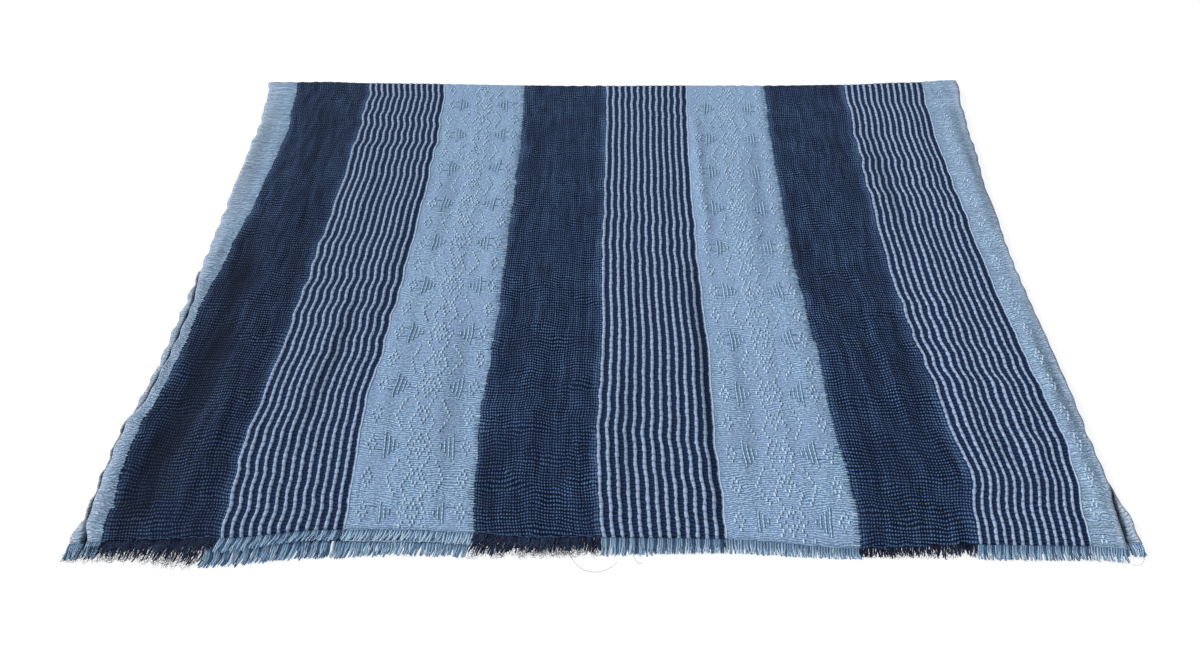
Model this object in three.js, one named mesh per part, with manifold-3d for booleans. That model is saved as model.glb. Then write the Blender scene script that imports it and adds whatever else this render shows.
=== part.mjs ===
// Crinkle scarf: one woven cotton cloth with a short fringe at both ends, folded in quarters and laid flat.
//
// The first fold lies at the front, under the two fringed ends. The second fold lies at the back, where the
// upper leaf turns down round the other leaves to the surface that the scarf lies on. The upper leaf is a
// cloth wall. The three leaves under it share one solid, which is layered at its edges.
//
// Lengths are in millimetres. +X runs across the cloth to the right, +Y from the fringed ends to the fold,
// and +Z up. The tables are measured from a point near the scarf's middle. The finished scarf is moved so
// that its origin is on the underside, in the middle of its outline.
import * as THREE from "three";
import { mergeVertices } from "three/addons/utils/BufferGeometryUtils.js";
import Module from "manifold-3d";

// Driving dimensions
const LEAF_THICKNESS = 1.2;
const LEAF_GAP = 0.3;
const UNDER_HEIGHT = 4.8; // three leaves on one another
const LEAF_TOP = UNDER_HEIGHT + LEAF_GAP + LEAF_THICKNESS;
const FOLD_RETURN = 12; // how far the upper leaf runs back under the others past the fold
const CORD_COUNT = 13;
const CORD_RISE = 0.5;
const CORD_PLACE = 0.26; // the first cord's crest, as a share of the way to the second
const LAST_GROUND = 0.015; // share of a corded band that is left over past its last cord's ground
const PLAIN_THREADS = 5; // steps across a band without cords
const INNER_THREADS = 3; // steps across each band on the plain inside
const END_Y = -218; // about where the upper woven end lies
const END_BEVEL = 1; // how far the inside's woven end stands back
const FLAT_ROWS = 24;
const FRONT_ROWS = [0.005, 0.011]; // rows put in behind the woven end, where the leaf sinks
const FOLD_ROWS = 4;
const SIDE_ROWS = 16;
const END_COLUMNS = 32;

// The bands of the warp, each from its left edge to the next one's, with its number of fringe locks.
const BANDS = [
  { from: "selvedge1", to: "plain1", weave: "figured", locks: 3 },
  { from: "plain1", to: "corded1", weave: "plain", locks: 9 },
  { from: "corded1", to: "figured1", weave: "corded", locks: 13 },
  { from: "figured1", to: "plain2", weave: "figured", locks: 13 },
  { from: "plain2", to: "corded2", weave: "plain", locks: 9 },
  { from: "corded2", to: "figured2", weave: "corded", locks: 13 },
  { from: "figured2", to: "plain3", weave: "figured", locks: 13 },
  { from: "plain3", to: "corded3", weave: "plain", locks: 9 },
  { from: "corded3", to: "figured3", weave: "corded", locks: 13 },
  { from: "figured3", to: "selvedge2", weave: "figured", locks: 4 },
];

// Where the edges of the upper leaf's bands lie, in sections across the cloth from the front to the fold.
const SECTIONS = [
  { y: -230, selvedge1: -281, plain1: -273.5, corded1: -208, figured1: -142, plain2: -71, corded2: -1,
    figured2: 65, plain3: 136, corded3: 199, figured3: 260, selvedge2: 279.5 },
  { y: -205, selvedge1: -286, plain1: -276, corded1: -211.5, figured1: -144.5, plain2: -74, corded2: -4,
    figured2: 65, plain3: 138.5, corded3: 203, figured3: 263.5, selvedge2: 282 },
  { y: -178, selvedge1: -288.7, plain1: -280, corded1: -213.5, figured1: -145, plain2: -75.5, corded2: -6,
    figured2: 64.5, plain3: 138, corded3: 208.5, figured3: 268, selvedge2: 285.5 },
  { y: -150, selvedge1: -288.7, plain1: -280, corded1: -215, figured1: -148, plain2: -77, corded2: -6.5,
    figured2: 63.5, plain3: 135.5, corded3: 205, figured3: 271, selvedge2: 286 },
  { y: -125, selvedge1: -282.7, plain1: -277.2, corded1: -213.5, figured1: -148, plain2: -77, corded2: -6,
    figured2: 64, plain3: 135, corded3: 204.5, figured3: 269.5, selvedge2: 287 },
  { y: -90, selvedge1: -281, plain1: -275.5, corded1: -212, figured1: -146, plain2: -75.5, corded2: -4.5,
    figured2: 65, plain3: 135, corded3: 202, figured3: 268.5, selvedge2: 287.5 },
  { y: -50, selvedge1: -282, plain1: -277, corded1: -211.5, figured1: -145, plain2: -74.5, corded2: -4.5,
    figured2: 64, plain3: 133, corded3: 199, figured3: 267.5, selvedge2: 287.5 },
  { y: 0, selvedge1: -289, plain1: -274.5, corded1: -211, figured1: -144, plain2: -74.5, corded2: -5.5,
    figured2: 63, plain3: 131, corded3: 198, figured3: 267, selvedge2: 287.5 },
  { y: 80, selvedge1: -292, plain1: -271, corded1: -210, figured1: -143, plain2: -74, corded2: -4.5,
    figured2: 63, plain3: 131.5, corded3: 200.5, figured3: 268.5, selvedge2: 292 },
  { y: 150, selvedge1: -294.5, plain1: -270.5, corded1: -210.5, figured1: -143.5, plain2: -74, corded2: -4,
    figured2: 64, plain3: 132.5, corded3: 203, figured3: 270, selvedge2: 299 },
  { y: 200, selvedge1: -300, plain1: -276, corded1: -212.5, figured1: -146, plain2: -76, corded2: -4,
    figured2: 66, plain3: 134.5, corded3: 206, figured3: 274, selvedge2: 304 },
  { y: 235, selvedge1: -307, plain1: -281, corded1: -216, figured1: -148.5, plain2: -77, corded2: -4.5,
    figured2: 67, plain3: 136.5, corded3: 208, figured3: 278, selvedge2: 310 },
];

// The selvedges of the leaf under the upper one, which stands out past it in places.
const LOWER_SELVEDGES = [
  { y: -230, left: -287, right: 287 },
  { y: -205, left: -289.3, right: 287.7 },
  { y: -180, left: -291, right: 284.5 },
  { y: -150, left: -292.5, right: 284 },
  { y: -130, left: -289, right: 284 },
  { y: -100, left: -287.5, right: 284 },
  { y: -55, left: -288.5, right: 284 },
  { y: -20, left: -288, right: 284 },
  { y: 50, left: -288, right: 286 },
  { y: 100, left: -289, right: 290 },
  { y: 150, left: -291, right: 294 },
  { y: 200, left: -296, right: 299 },
  { y: 235, left: -303, right: 305 },
];

// The two woven ends at the front, how far the fringes reach from them, and the fold at the back.
const ENDS = [
  { x: -292, upper: -227, upperTips: -233, lower: -227, lowerTips: -233.5, fold: 234 },
  { x: -250, upper: -224.6, upperTips: -231, lower: -225.5, lowerTips: -232.5, fold: 235 },
  { x: -212, upper: -223, upperTips: -229.5, lower: -226, lowerTips: -234, fold: 233.5 },
  { x: -148, upper: -217, upperTips: -223.5, lower: -222.6, lowerTips: -228.5, fold: 233 },
  { x: -110, upper: -216.5, upperTips: -223, lower: -222.4, lowerTips: -227.3, fold: 232.5 },
  { x: -77, upper: -217.8, upperTips: -224, lower: -222, lowerTips: -227.5, fold: 232 },
  { x: -40, upper: -220.5, upperTips: -226, lower: -221.5, lowerTips: -228, fold: 231.5 },
  { x: -5, upper: -219.5, upperTips: -225, lower: -218, lowerTips: -224, fold: 232 },
  { x: 62, upper: -219.5, upperTips: -224.8, lower: -216, lowerTips: -222, fold: 233.5 },
  { x: 135, upper: -223.5, upperTips: -227.5, lower: -217, lowerTips: -223, fold: 234.5 },
  { x: 203, upper: -220.8, upperTips: -227, lower: -217, lowerTips: -223, fold: 236.5 },
  { x: 267, upper: -221.2, upperTips: -228.5, lower: -218, lowerTips: -224, fold: 241 },
  { x: 310, upper: -225, upperTips: -230, lower: -220, lowerTips: -226, fold: 246 },
];

// Soft ridges that stand up in the upper leaf, each from one point to another.
const RIDGES = [
  { x1: -284, y1: -215, x2: -284, y2: 40, width: 6, rise: 1.6 },
  { x1: -292, y1: 60, x2: -298, y2: 200, width: 9, rise: 1.2 },
  { x1: -236, y1: -200, x2: -238, y2: -60, width: 15, rise: 1.6 },
  { x1: -240, y1: -30, x2: -250, y2: 170, width: 13, rise: 1.5 },
  { x1: -226, y1: 60, x2: -200, y2: 205, width: 9, rise: 0.9 },
  { x1: -196, y1: -190, x2: -176, y2: -20, width: 9, rise: 1.1 },
  { x1: -188, y1: 10, x2: -196, y2: 160, width: 10, rise: 1.0 },
  { x1: -160, y1: -160, x2: -158, y2: 120, width: 6, rise: 0.9 },
  { x1: -140, y1: -205, x2: -136, y2: -30, width: 10, rise: 1.2 },
  { x1: -112, y1: -120, x2: -104, y2: 190, width: 14, rise: 0.9 },
  { x1: -84, y1: -60, x2: -82, y2: 180, width: 8, rise: 1.2 },
  { x1: -50, y1: -205, x2: -44, y2: -20, width: 13, rise: 1.3 },
  { x1: -30, y1: 0, x2: -36, y2: 190, width: 15, rise: 1.2 },
  { x1: -16, y1: -160, x2: -12, y2: -70, width: 7, rise: 0.9 },
  { x1: 22, y1: -190, x2: 8, y2: 20, width: 10, rise: 0.8 },
  { x1: 40, y1: -40, x2: 34, y2: 180, width: 12, rise: 0.8 },
  { x1: 70, y1: 20, x2: 70, y2: 200, width: 8, rise: 1.3 },
  { x1: 96, y1: -200, x2: 104, y2: 60, width: 16, rise: 1.0 },
  { x1: 124, y1: -190, x2: 122, y2: 40, width: 8, rise: 1.1 },
  { x1: 150, y1: -180, x2: 148, y2: -50, width: 6, rise: 1.1 },
  { x1: 166, y1: -190, x2: 160, y2: -20, width: 6, rise: 1.4 },
  { x1: 182, y1: -170, x2: 176, y2: 10, width: 6, rise: 1.2 },
  { x1: 178, y1: 40, x2: 168, y2: 200, width: 11, rise: 1.2 },
  { x1: 216, y1: -180, x2: 226, y2: -40, width: 8, rise: 1.3 },
  { x1: 236, y1: -90, x2: 222, y2: 90, width: 9, rise: 1.2 },
  { x1: 252, y1: -200, x2: 246, y2: -110, width: 7, rise: 1.1 },
  { x1: 250, y1: 40, x2: 254, y2: 200, width: 9, rise: 1.0 },
  { x1: 276, y1: -200, x2: 278, y2: -20, width: 7, rise: 1.5 },
  { x1: 282, y1: 10, x2: 290, y2: 190, width: 8, rise: 1.7 },
];

// The under leaves, level by level. side, end and fold say how far the outline stands in from the lower
// leaf's selvedges, from its woven end and from the fold.
const FIRST_FOLD_SET_BACK = 5;
const LEVELS = [
  { z: 0, side: 3.1, end: FIRST_FOLD_SET_BACK + 1.6, fold: FOLD_RETURN + 3.6 },
  { z: 0.75, side: 2.2, end: FIRST_FOLD_SET_BACK + 0.4, fold: FOLD_RETURN + 3.6 },
  { z: 1.5, side: 2.8, end: FIRST_FOLD_SET_BACK, fold: FOLD_RETURN + 3.6 },
  { z: 1.72, side: 4.6, end: FIRST_FOLD_SET_BACK, fold: 3.4 },
  { z: 1.95, side: 1.9, end: FIRST_FOLD_SET_BACK, fold: 2.6 },
  { z: 2.45, side: 1.2, end: FIRST_FOLD_SET_BACK + 0.4, fold: 2.1 },
  { z: 3.0, side: 1.9, end: FIRST_FOLD_SET_BACK + 1.6, fold: 1.85 },
  { z: 3.2, side: 4.2, end: FIRST_FOLD_SET_BACK + 3.2, fold: 1.85 },
  { z: 3.42, side: 0.7, end: 0.7, fold: 1.9 },
  { z: 4.1, side: 0, end: 0.2, fold: 2.25 },
  { z: UNDER_HEIGHT, side: 0.7, end: 0.6, fold: 3.6 },
];

// The fringes. Each lock lies on the leaf or fringe below, and falls past the front of the lower strip.
const STRIP_DEPTH = 1.6;
const LENGTH_SPREAD = 0.12;
const LENGTH_BEAT = 2.3;
const LOCK_SIDES = 3;
const LOCK_RADIUS = { figured: 0.95, corded: 0.95, plain: 0.55 };
const LOCK_MARGIN = 1.2; // from a strip's ends
const LOCK_TAPER = 0.8;
const LOCK_FLATNESS = 0.6;
const LOCK_LEAN = -1.6;
const LEAN_SPAN = 150;
const LOCK_SWAY = 0.55;
const SWAY_BEAT = 1.7;
const ROOT_DEPTH = 0.8;
const DROOP = 0.6; // fall of a lock for each millimetre
const SAG = 0.6; // of the upper leaf where it stands out past the lower one
const SAG_START = 3;
const LOCK_CLEARANCE = 0.35;

const lerp = THREE.MathUtils.lerp;

// A value from a table's column, blended smoothly between its rows.
function lookUp(table, key, at, column) {
  const last = table.length - 1;
  if (at <= table[0][key]) return table[0][column];
  if (at >= table[last][key]) return table[last][column];
  const i = table.findIndex((row) => row[key] > at);
  const [a, b] = [table[i - 1], table[i]];
  const share = THREE.MathUtils.smoothstep(at, a[key], b[key]);
  return lerp(a[column], b[column], share);
}

const threadLine = (y, edge) => lookUp(SECTIONS, "y", y, edge);
const lowerSelvedge = (y, side) => lookUp(LOWER_SELVEDGES, "y", y, side);
const endLine = (x, column) => lookUp(ENDS, "x", x, column);

// How far a point stands out past the front of the lower strip.
const pastStrip = (x, y) => Math.max(0, endLine(x, "lower") - LEAF_GAP - STRIP_DEPTH - y);

// How far the upper leaf sinks there.
function sag(x, y) {
  const out = pastStrip(x, y);
  return (SAG * out * out) / (out + SAG_START);
}

// How far the ridges lift the upper leaf at a point.
function relief(x, y) {
  let lift = 0;
  for (const ridge of RIDGES) {
    const [dx, dy] = [ridge.x2 - ridge.x1, ridge.y2 - ridge.y1];
    const along = ((x - ridge.x1) * dx + (y - ridge.y1) * dy) / (dx * dx + dy * dy);
    const t = THREE.MathUtils.clamp(along, 0, 1);
    const away = Math.hypot(x - ridge.x1 - t * dx, y - ridge.y1 - t * dy);
    const ends = Math.sin(Math.PI * THREE.MathUtils.clamp(t, 0.06, 0.94)) ** 0.5;
    lift += ridge.rise * ends * Math.exp(-((away / ridge.width) ** 2));
  }
  return lift;
}

// Where a warp thread of the upper leaf lies: a share of the way across its band.
function warpX(thread, y) {
  const band = BANDS[thread.band];
  return lerp(threadLine(y, band.from), threadLine(y, band.to), thread.share);
}

// The warp threads that the upper leaf's outside follows, with the rise of the cord at each.
function outerThreads() {
  const threads = [{ band: 0, share: 0, rise: 0 }];
  BANDS.forEach(({ weave }, band) => {
    if (weave === "corded") {
      const pitch = (1 - LAST_GROUND) / CORD_COUNT;
      for (let i = 0; i < CORD_COUNT; i++) {
        const crest = (i + CORD_PLACE) * pitch;
        threads.push({ band, share: crest, rise: CORD_RISE }, { band, share: crest + pitch / 2, rise: 0 });
      }
    } else {
      const steps = PLAIN_THREADS;
      for (let i = 1; i < steps; i++) threads.push({ band, share: i / steps, rise: 0 });
    }
    threads.push({ band, share: 1, rise: 0 });
  });
  return threads;
}

// The threads that its plain inside follows.
function innerThreads() {
  const threads = [{ band: 0, share: 0, rise: 0 }];
  BANDS.forEach((_, band) => {
    for (let i = 1; i <= INNER_THREADS; i++) threads.push({ band, share: i / INNER_THREADS, rise: 0 });
  });
  return threads;
}

// The rows of the upper leaf, from its woven end, over the flat, round the fold and back under the others.
function leafRows() {
  const rows = [];
  const shares = Array.from({ length: FLAT_ROWS }, (_, i) => i / FLAT_ROWS);
  shares.splice(1, 0, ...FRONT_ROWS);
  for (const share of shares) rows.push({ part: "flat", share });
  for (let i = 0; i <= FOLD_ROWS; i++) rows.push({ part: "fold", share: i / FOLD_ROWS });
  rows.push({ part: "return", share: 1 });
  return rows;
}

// A point of the upper leaf, depth below its outside. The inside, which has a depth, is plain.
function leafPoint(thread, row, depth) {
  const lift = (x, y) => (depth > 0 ? 0 : relief(x, y));
  const foldX = warpX(thread, SECTIONS.at(-1).y);
  const foldY = endLine(foldX, "fold");
  const radius = (LEAF_TOP + 0.5 * lift(foldX, foldY)) / 2;
  const foldStart = foldY - radius;
  if (row.part === "flat") {
    const woven = endLine(warpX(thread, END_Y), "upper") + (depth > 0 ? END_BEVEL : 0);
    const y = lerp(woven, foldStart, row.share);
    const x = warpX(thread, y);
    const nearFold = 1 - 0.5 * THREE.MathUtils.smoothstep(y, foldStart - 30, foldStart);
    const height = LEAF_TOP + nearFold * lift(x, y) - sag(x, y);
    return new THREE.Vector3(x, y, height + thread.rise - depth);
  }
  if (row.part === "fold") {
    const angle = Math.PI * (0.5 - row.share);
    const reach = radius + thread.rise * (1 - row.share) - depth;
    return new THREE.Vector3(foldX, foldStart + reach * Math.cos(angle), radius + reach * Math.sin(angle));
  }
  const y = foldStart - FOLD_RETURN * row.share;
  return new THREE.Vector3(warpX(thread, y), y, depth);
}

// A closed body from vertices and faces.
function bodyOf(points, faces) {
  const geometry = new THREE.BufferGeometry();
  const places = points.flatMap((point) => point.toArray());
  geometry.setAttribute("position", new THREE.Float32BufferAttribute(places, 3));
  geometry.setIndex(faces.flat());
  return geometry;
}

// Faces between two rows of points that run the same way and may differ in number.
function stitch(faces, a, b, shareA, shareB) {
  let [i, j] = [0, 0];
  while (i < a.length - 1 || j < b.length - 1) {
    const stepA = i < a.length - 1 && (j === b.length - 1 || shareA[i + 1] <= shareB[j + 1]);
    if (stepA) faces.push([a[i], a[++i], b[j]]);
    else faces.push([a[i], b[j + 1], b[j++]]);
  }
}

// The upper leaf: a wall with cords on its outside and a plain inside.
function upperLeaf() {
  const rows = leafRows();
  const [outer, inner] = [outerThreads(), innerThreads()];
  const points = [];
  const faces = [];
  const net = (threads, depth) =>
    rows.map((row) => threads.map((thread) => points.push(leafPoint(thread, row, depth)) - 1));
  const [top, under] = [net(outer, 0), net(inner, LEAF_THICKNESS)];
  for (let r = 0; r < rows.length - 1; r++) {
    for (let c = 0; c < outer.length - 1; c++) {
      const [a, b, d, e] = [top[r][c], top[r][c + 1], top[r + 1][c + 1], top[r + 1][c]];
      faces.push([a, b, d], [a, d, e]);
    }
    for (let c = 0; c < inner.length - 1; c++) {
      const [a, b, d, e] = [under[r][c], under[r][c + 1], under[r + 1][c + 1], under[r + 1][c]];
      faces.push([a, d, b], [a, e, d]);
    }
    const last = [outer.length - 1, inner.length - 1];
    faces.push([top[r][0], top[r + 1][0], under[r + 1][0]], [top[r][0], under[r + 1][0], under[r][0]]);
    const [p, q, s, t] = [top[r][last[0]], top[r + 1][last[0]], under[r + 1][last[1]], under[r][last[1]]];
    faces.push([p, s, q], [p, t, s]);
  }
  const shares = [outer, inner].map((threads) => threads.map(({ band, share }) => band + share));
  const front = [];
  stitch(front, top[0], under[0], ...shares);
  const back = [];
  stitch(back, top.at(-1), under.at(-1), ...shares);
  faces.push(...front.map(([a, b, c]) => [a, c, b]), ...back);
  return bodyOf(points, faces);
}

// The outline of the under leaves at one level, anticlockwise from the front left corner.
function levelOutline(level) {
  const left = (y) => lowerSelvedge(y, "left") + level.side;
  const right = (y) => lowerSelvedge(y, "right") - level.side;
  const end = (x) => endLine(x, "lower") + level.end;
  const fold = (x) => endLine(x, "fold") - level.fold;
  const [farLeft, farRight] = [ENDS[0].x, ENDS[ENDS.length - 1].x];
  const corners = {
    frontLeft: [left(end(farLeft)), end(farLeft)],
    frontRight: [right(end(farRight)), end(farRight)],
    backLeft: [left(fold(farLeft)), fold(farLeft)],
    backRight: [right(fold(farRight)), fold(farRight)],
  };
  const outline = [];
  for (let i = 0; i < END_COLUMNS; i++) {
    const x = lerp(corners.frontLeft[0], corners.frontRight[0], i / END_COLUMNS);
    outline.push([x, end(x)]);
  }
  for (let i = 0; i < SIDE_ROWS; i++) {
    const y = lerp(end(corners.frontRight[0]), fold(corners.backRight[0]), i / SIDE_ROWS);
    outline.push([right(y), y]);
  }
  for (let i = 0; i < END_COLUMNS; i++) {
    const x = lerp(corners.backRight[0], corners.backLeft[0], i / END_COLUMNS);
    outline.push([x, fold(x)]);
  }
  for (let i = 0; i < SIDE_ROWS; i++) {
    const y = lerp(fold(corners.backLeft[0]), end(corners.frontLeft[0]), i / SIDE_ROWS);
    outline.push([left(y), y]);
  }
  return outline.map(([x, y]) => new THREE.Vector2(x, y));
}

// The three leaves under the upper one, as one solid with a groove round it between each two leaves.
function underLeaves() {
  const outlines = LEVELS.map(levelOutline);
  const count = outlines[0].length;
  const ring = (outline, i) => outline.map((p) => new THREE.Vector3(p.x, p.y, LEVELS[i].z));
  const points = outlines.flatMap(ring);
  const faces = [];
  for (let level = 0; level < LEVELS.length - 1; level++) {
    for (let i = 0; i < count; i++) {
      const [a, b] = [level * count + i, level * count + ((i + 1) % count)];
      faces.push([a, b, b + count], [a, b + count, a + count]);
    }
  }
  const top = (LEVELS.length - 1) * count;
  for (const [a, b, c] of THREE.ShapeUtils.triangulateShape(outlines.at(-1), []))
    faces.push([top + a, top + b, top + c]);
  for (const [a, b, c] of THREE.ShapeUtils.triangulateShape(outlines[0], [])) faces.push([a, c, b]);
  return bodyOf(points, faces);
}

const wasm = await Module();
wasm.setup();

// A closed geometry as a solid that can be joined to another.
function solidOf(geometry) {
  const bare = geometry.clone();
  for (const name of Object.keys(bare.attributes)) if (name !== "position") bare.deleteAttribute(name);
  const merged = mergeVertices(bare, 1e-4);
  return new wasm.Manifold(
    new wasm.Mesh({
      numProp: 3,
      vertProperties: merged.attributes.position.array,
      triVerts: new Uint32Array(merged.index.array),
    }),
  );
}

function geometryOf(solid) {
  const mesh = solid.getMesh();
  const geometry = new THREE.BufferGeometry();
  geometry.setAttribute("position", new THREE.Float32BufferAttribute(mesh.vertProperties, 3));
  geometry.setIndex(new THREE.BufferAttribute(mesh.triVerts, 1));
  return geometry;
}

// Where a warp thread comes out of a woven end, from the end's left to its right.
function fringeX(fringe, band, share) {
  const [first, last] = [threadLine(END_Y, BANDS[0].from), threadLine(END_Y, BANDS[BANDS.length - 1].to)];
  const across = (warpX({ band, share }, END_Y) - first) / (last - first);
  return lerp(fringe.left, fringe.right, across);
}

// The strip that a fringe grows from: it lies just in front of a woven end.
function fringeStrip(fringe) {
  const places = [fringe.left];
  BANDS.forEach((_, band) => {
    for (let i = 1; i <= PLAIN_THREADS; i++) places.push(fringeX(fringe, band, i / PLAIN_THREADS));
  });
  const points = places.flatMap((x) => {
    const back = endLine(x, fringe.column) - LEAF_GAP;
    const low = fringe.low - fringe.sag(x, back);
    const [front, high] = [back - STRIP_DEPTH, low + LEAF_THICKNESS];
    const section = [[back, low], [back, high], [front, high], [front, low]];
    return section.map(([y, z]) => new THREE.Vector3(x, y, z));
  });
  const faces = [];
  const last = points.length - 4;
  for (let s = 0; s < last; s += 4) {
    for (let k = 0; k < 4; k++) {
      const [a, b] = [s + k, s + ((k + 1) % 4)];
      faces.push([a, b, b + 4], [a, b + 4, a + 4]);
    }
  }
  faces.push([0, 2, 1], [0, 3, 2], [last, last + 1, last + 2], [last, last + 2, last + 3]);
  return solidOf(bodyOf(points, faces));
}

// One lock of threads: it tapers from its root in the strip, over its middle, to its tip.
function lock(root, middle, tip, radius) {
  const points = [];
  for (const [centre, size] of [[root, radius], [middle, radius * LOCK_TAPER]]) {
    for (let k = 0; k < LOCK_SIDES; k++) {
      const turn = Math.PI / 2 + (2 * Math.PI * k) / LOCK_SIDES;
      const [across, up] = [size * Math.cos(turn), LOCK_FLATNESS * size * Math.sin(turn)];
      points.push(new THREE.Vector3(centre.x + across, centre.y, centre.z + up));
    }
  }
  points.push(tip);
  const faces = [[0, 2, 1]];
  for (let k = 0; k < LOCK_SIDES; k++) {
    const next = (k + 1) % LOCK_SIDES;
    const [a, b, c, d] = [k, next, next + LOCK_SIDES, k + LOCK_SIDES];
    faces.push([a, b, c], [a, c, d], [d, c, 2 * LOCK_SIDES]);
  }
  return solidOf(bodyOf(points, faces));
}

// The locks' places across a fringe, band by band.
function lockPlaces(fringe) {
  const places = BANDS.flatMap(({ locks, weave }, band) =>
    Array.from({ length: locks }, (_, k) => ({ x: fringeX(fringe, band, (k + 0.5) / locks), weave })),
  );
  const [first, last] = [fringe.left + LOCK_MARGIN, fringe.right - LOCK_MARGIN];
  return places.map(({ x, weave }) => ({ x: THREE.MathUtils.clamp(x, first, last), weave }));
}

// A fringe: its strip with all its locks joined to it.
function fringeGeometry(fringe) {
  let solid = fringeStrip(fringe);
  lockPlaces(fringe).forEach(({ x, weave }, i) => {
    const radius = LOCK_RADIUS[weave];
    const start = endLine(x, fringe.column) - LEAF_GAP - STRIP_DEPTH;
    const reach = (start - endLine(x, fringe.tips)) * (1 + LENGTH_SPREAD * Math.sin(LENGTH_BEAT * i));
    const lean = LOCK_LEAN * Math.cos(x / LEAN_SPAN) + LOCK_SWAY * Math.sin(SWAY_BEAT * i);
    const at = (share) => {
      const [px, py] = [x + lean * share, start - reach * share];
      const clear = LOCK_CLEARANCE + (LOCK_FLATNESS * radius) / 2;
      return new THREE.Vector3(px, py, fringe.rest(px, py) + clear);
    };
    const height = fringe.low - fringe.sag(x, start) + LEAF_THICKNESS / 2;
    const root = new THREE.Vector3(x, start + ROOT_DEPTH, height);
    solid = solid.add(lock(root, at(0.5), at(1), radius));
  });
  return geometryOf(solid);
}

// The height of what a fringe lies on: level as far as the front of the lower strip, and then falling.
function fallPast(x, y, height) {
  return Math.max(0, height - pastStrip(x, y) * DROOP);
}

const upperFringe = {
  column: "upper",
  tips: "upperTips",
  left: threadLine(ENDS[0].upper, "selvedge1"),
  right: threadLine(ENDS[ENDS.length - 1].upper, "selvedge2"),
  low: UNDER_HEIGHT + LEAF_GAP,
  sag,
  rest: (x, y) => fallPast(x, y, UNDER_HEIGHT + LEAF_GAP),
};
const lowerFringe = {
  column: "lower",
  tips: "lowerTips",
  left: lowerSelvedge(ENDS[0].lower, "left"),
  right: lowerSelvedge(ENDS[ENDS.length - 1].lower, "right"),
  low: UNDER_HEIGHT - LEAF_GAP / 2 - LEAF_THICKNESS,
  sag: () => 0,
  rest: (x, y) => fallPast(x, y, UNDER_HEIGHT - LEAF_GAP - LEAF_THICKNESS),
};

const cotton = (color, roughness) => new THREE.MeshStandardMaterial({ color, roughness, metalness: 0 });
const PIECES = [
  { name: "upper_leaf", geometry: upperLeaf(), material: cotton(0x2c3a58, 0.9) },
  { name: "under_leaves", geometry: underLeaves(), material: cotton(0x6f8cab, 0.92) },
  { name: "upper_fringe", geometry: fringeGeometry(upperFringe), material: cotton(0x7391ae, 0.95) },
  { name: "lower_fringe", geometry: fringeGeometry(lowerFringe), material: cotton(0x5d7b98, 0.95) },
];

const extent = new THREE.Box3();
for (const { geometry } of PIECES) {
  geometry.computeBoundingBox();
  extent.union(geometry.boundingBox);
}
const middle = extent.getCenter(new THREE.Vector3());

const scarf = new THREE.Group();
for (const { name, geometry, material } of PIECES) {
  geometry.translate(-middle.x, -middle.y, -extent.min.z);
  const mesh = new THREE.Mesh(geometry, material);
  mesh.name = name;
  scarf.add(mesh);
}

export default scarf;
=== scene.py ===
# Crinkle scarf: a banded cotton cloth folded in quarters, with its brocade, its cords and its fringes.
# Shapes are worked out in millimetres from a point near the scarf's middle, and to_frame makes them metres.
import math
from types import SimpleNamespace

import bpy
import numpy as np
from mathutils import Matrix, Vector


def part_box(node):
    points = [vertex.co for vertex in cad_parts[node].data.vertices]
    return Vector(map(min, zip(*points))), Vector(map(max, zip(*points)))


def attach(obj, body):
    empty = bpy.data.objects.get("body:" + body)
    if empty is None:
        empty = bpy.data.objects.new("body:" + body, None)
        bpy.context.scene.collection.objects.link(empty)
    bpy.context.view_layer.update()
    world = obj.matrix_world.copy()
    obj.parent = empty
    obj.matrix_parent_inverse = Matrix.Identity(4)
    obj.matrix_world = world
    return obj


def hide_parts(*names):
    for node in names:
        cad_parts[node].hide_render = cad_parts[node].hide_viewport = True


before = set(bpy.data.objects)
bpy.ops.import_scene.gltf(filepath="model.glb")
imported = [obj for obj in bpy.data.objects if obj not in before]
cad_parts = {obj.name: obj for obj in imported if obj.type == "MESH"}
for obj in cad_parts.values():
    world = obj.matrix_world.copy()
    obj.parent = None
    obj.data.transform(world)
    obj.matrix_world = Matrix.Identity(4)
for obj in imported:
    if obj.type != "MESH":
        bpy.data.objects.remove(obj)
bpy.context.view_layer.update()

# ---------------------------------------------------------------- sizes of the cloth
LEAF_THICKNESS = 0.9
# How high the upper leaf's outside lies away from its ridges, the lowest that it comes near its edges, and
# how much lower it may come further in, where the leaves below lie closer together.
LEAF_TOP = 6.3
LOWEST_OUTSIDE = 5.7
LOWERED = 0.6
# Over how much height the lowest parts are rounded off.
SOFTENING = 0.3
# The ridges and the creases rise this many times what their tables say.
RIDGE_GAIN = 1.3
CREASE_GAIN = 1.2
# The front of the pile, and where the tables are read for the woven ends and for the fold.
FRONT_Y = -222.0
END_Y = -218.0
BACK_Y = 235.0
# The turn round the fold: its radius, how much further in it starts, and how far the cloth runs on below.
FOLD_RADIUS = LEAF_TOP / 2
FOLD_SLACK = 0.3
FOLD_RETURN = 12.0
# The upper leaf sinks from a line this far in from the lower woven end: softly at first, over 3 mm, and in
# the end by 0.6 mm for each millimetre out.
LOWER_STRIP = 1.9
SINKING = 0.6
SINKING_START = 3
# Scallops of the left selvedge and of the right one, and how far in they reach.
SCALLOP_LENGTHS = (17.5, 15.5)
SCALLOPED = 15
# Cords of a corded band: number, rise, pitch, and place of each crest in its pitch. The last share is bare.
CORD_COUNT = 13
CORD_RISE = 0.55
CORD_PITCH = 5.1
CORD_PLACE = 0.26
LAST_GROUND = 0.015
CORD_SHARE = (1 - LAST_GROUND) / CORD_COUNT
# Columns over one cord: place in pitches from its crest, and share of its rise.
CORD_PROFILE = ((-0.2, 0.0), (-0.13, 0.8), (0.0, 1.0), (0.13, 0.8), (0.2, 0.0))

PLAIN, CORDED, FIGURED, EDGING = 0, 1, 2, 3
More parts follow.
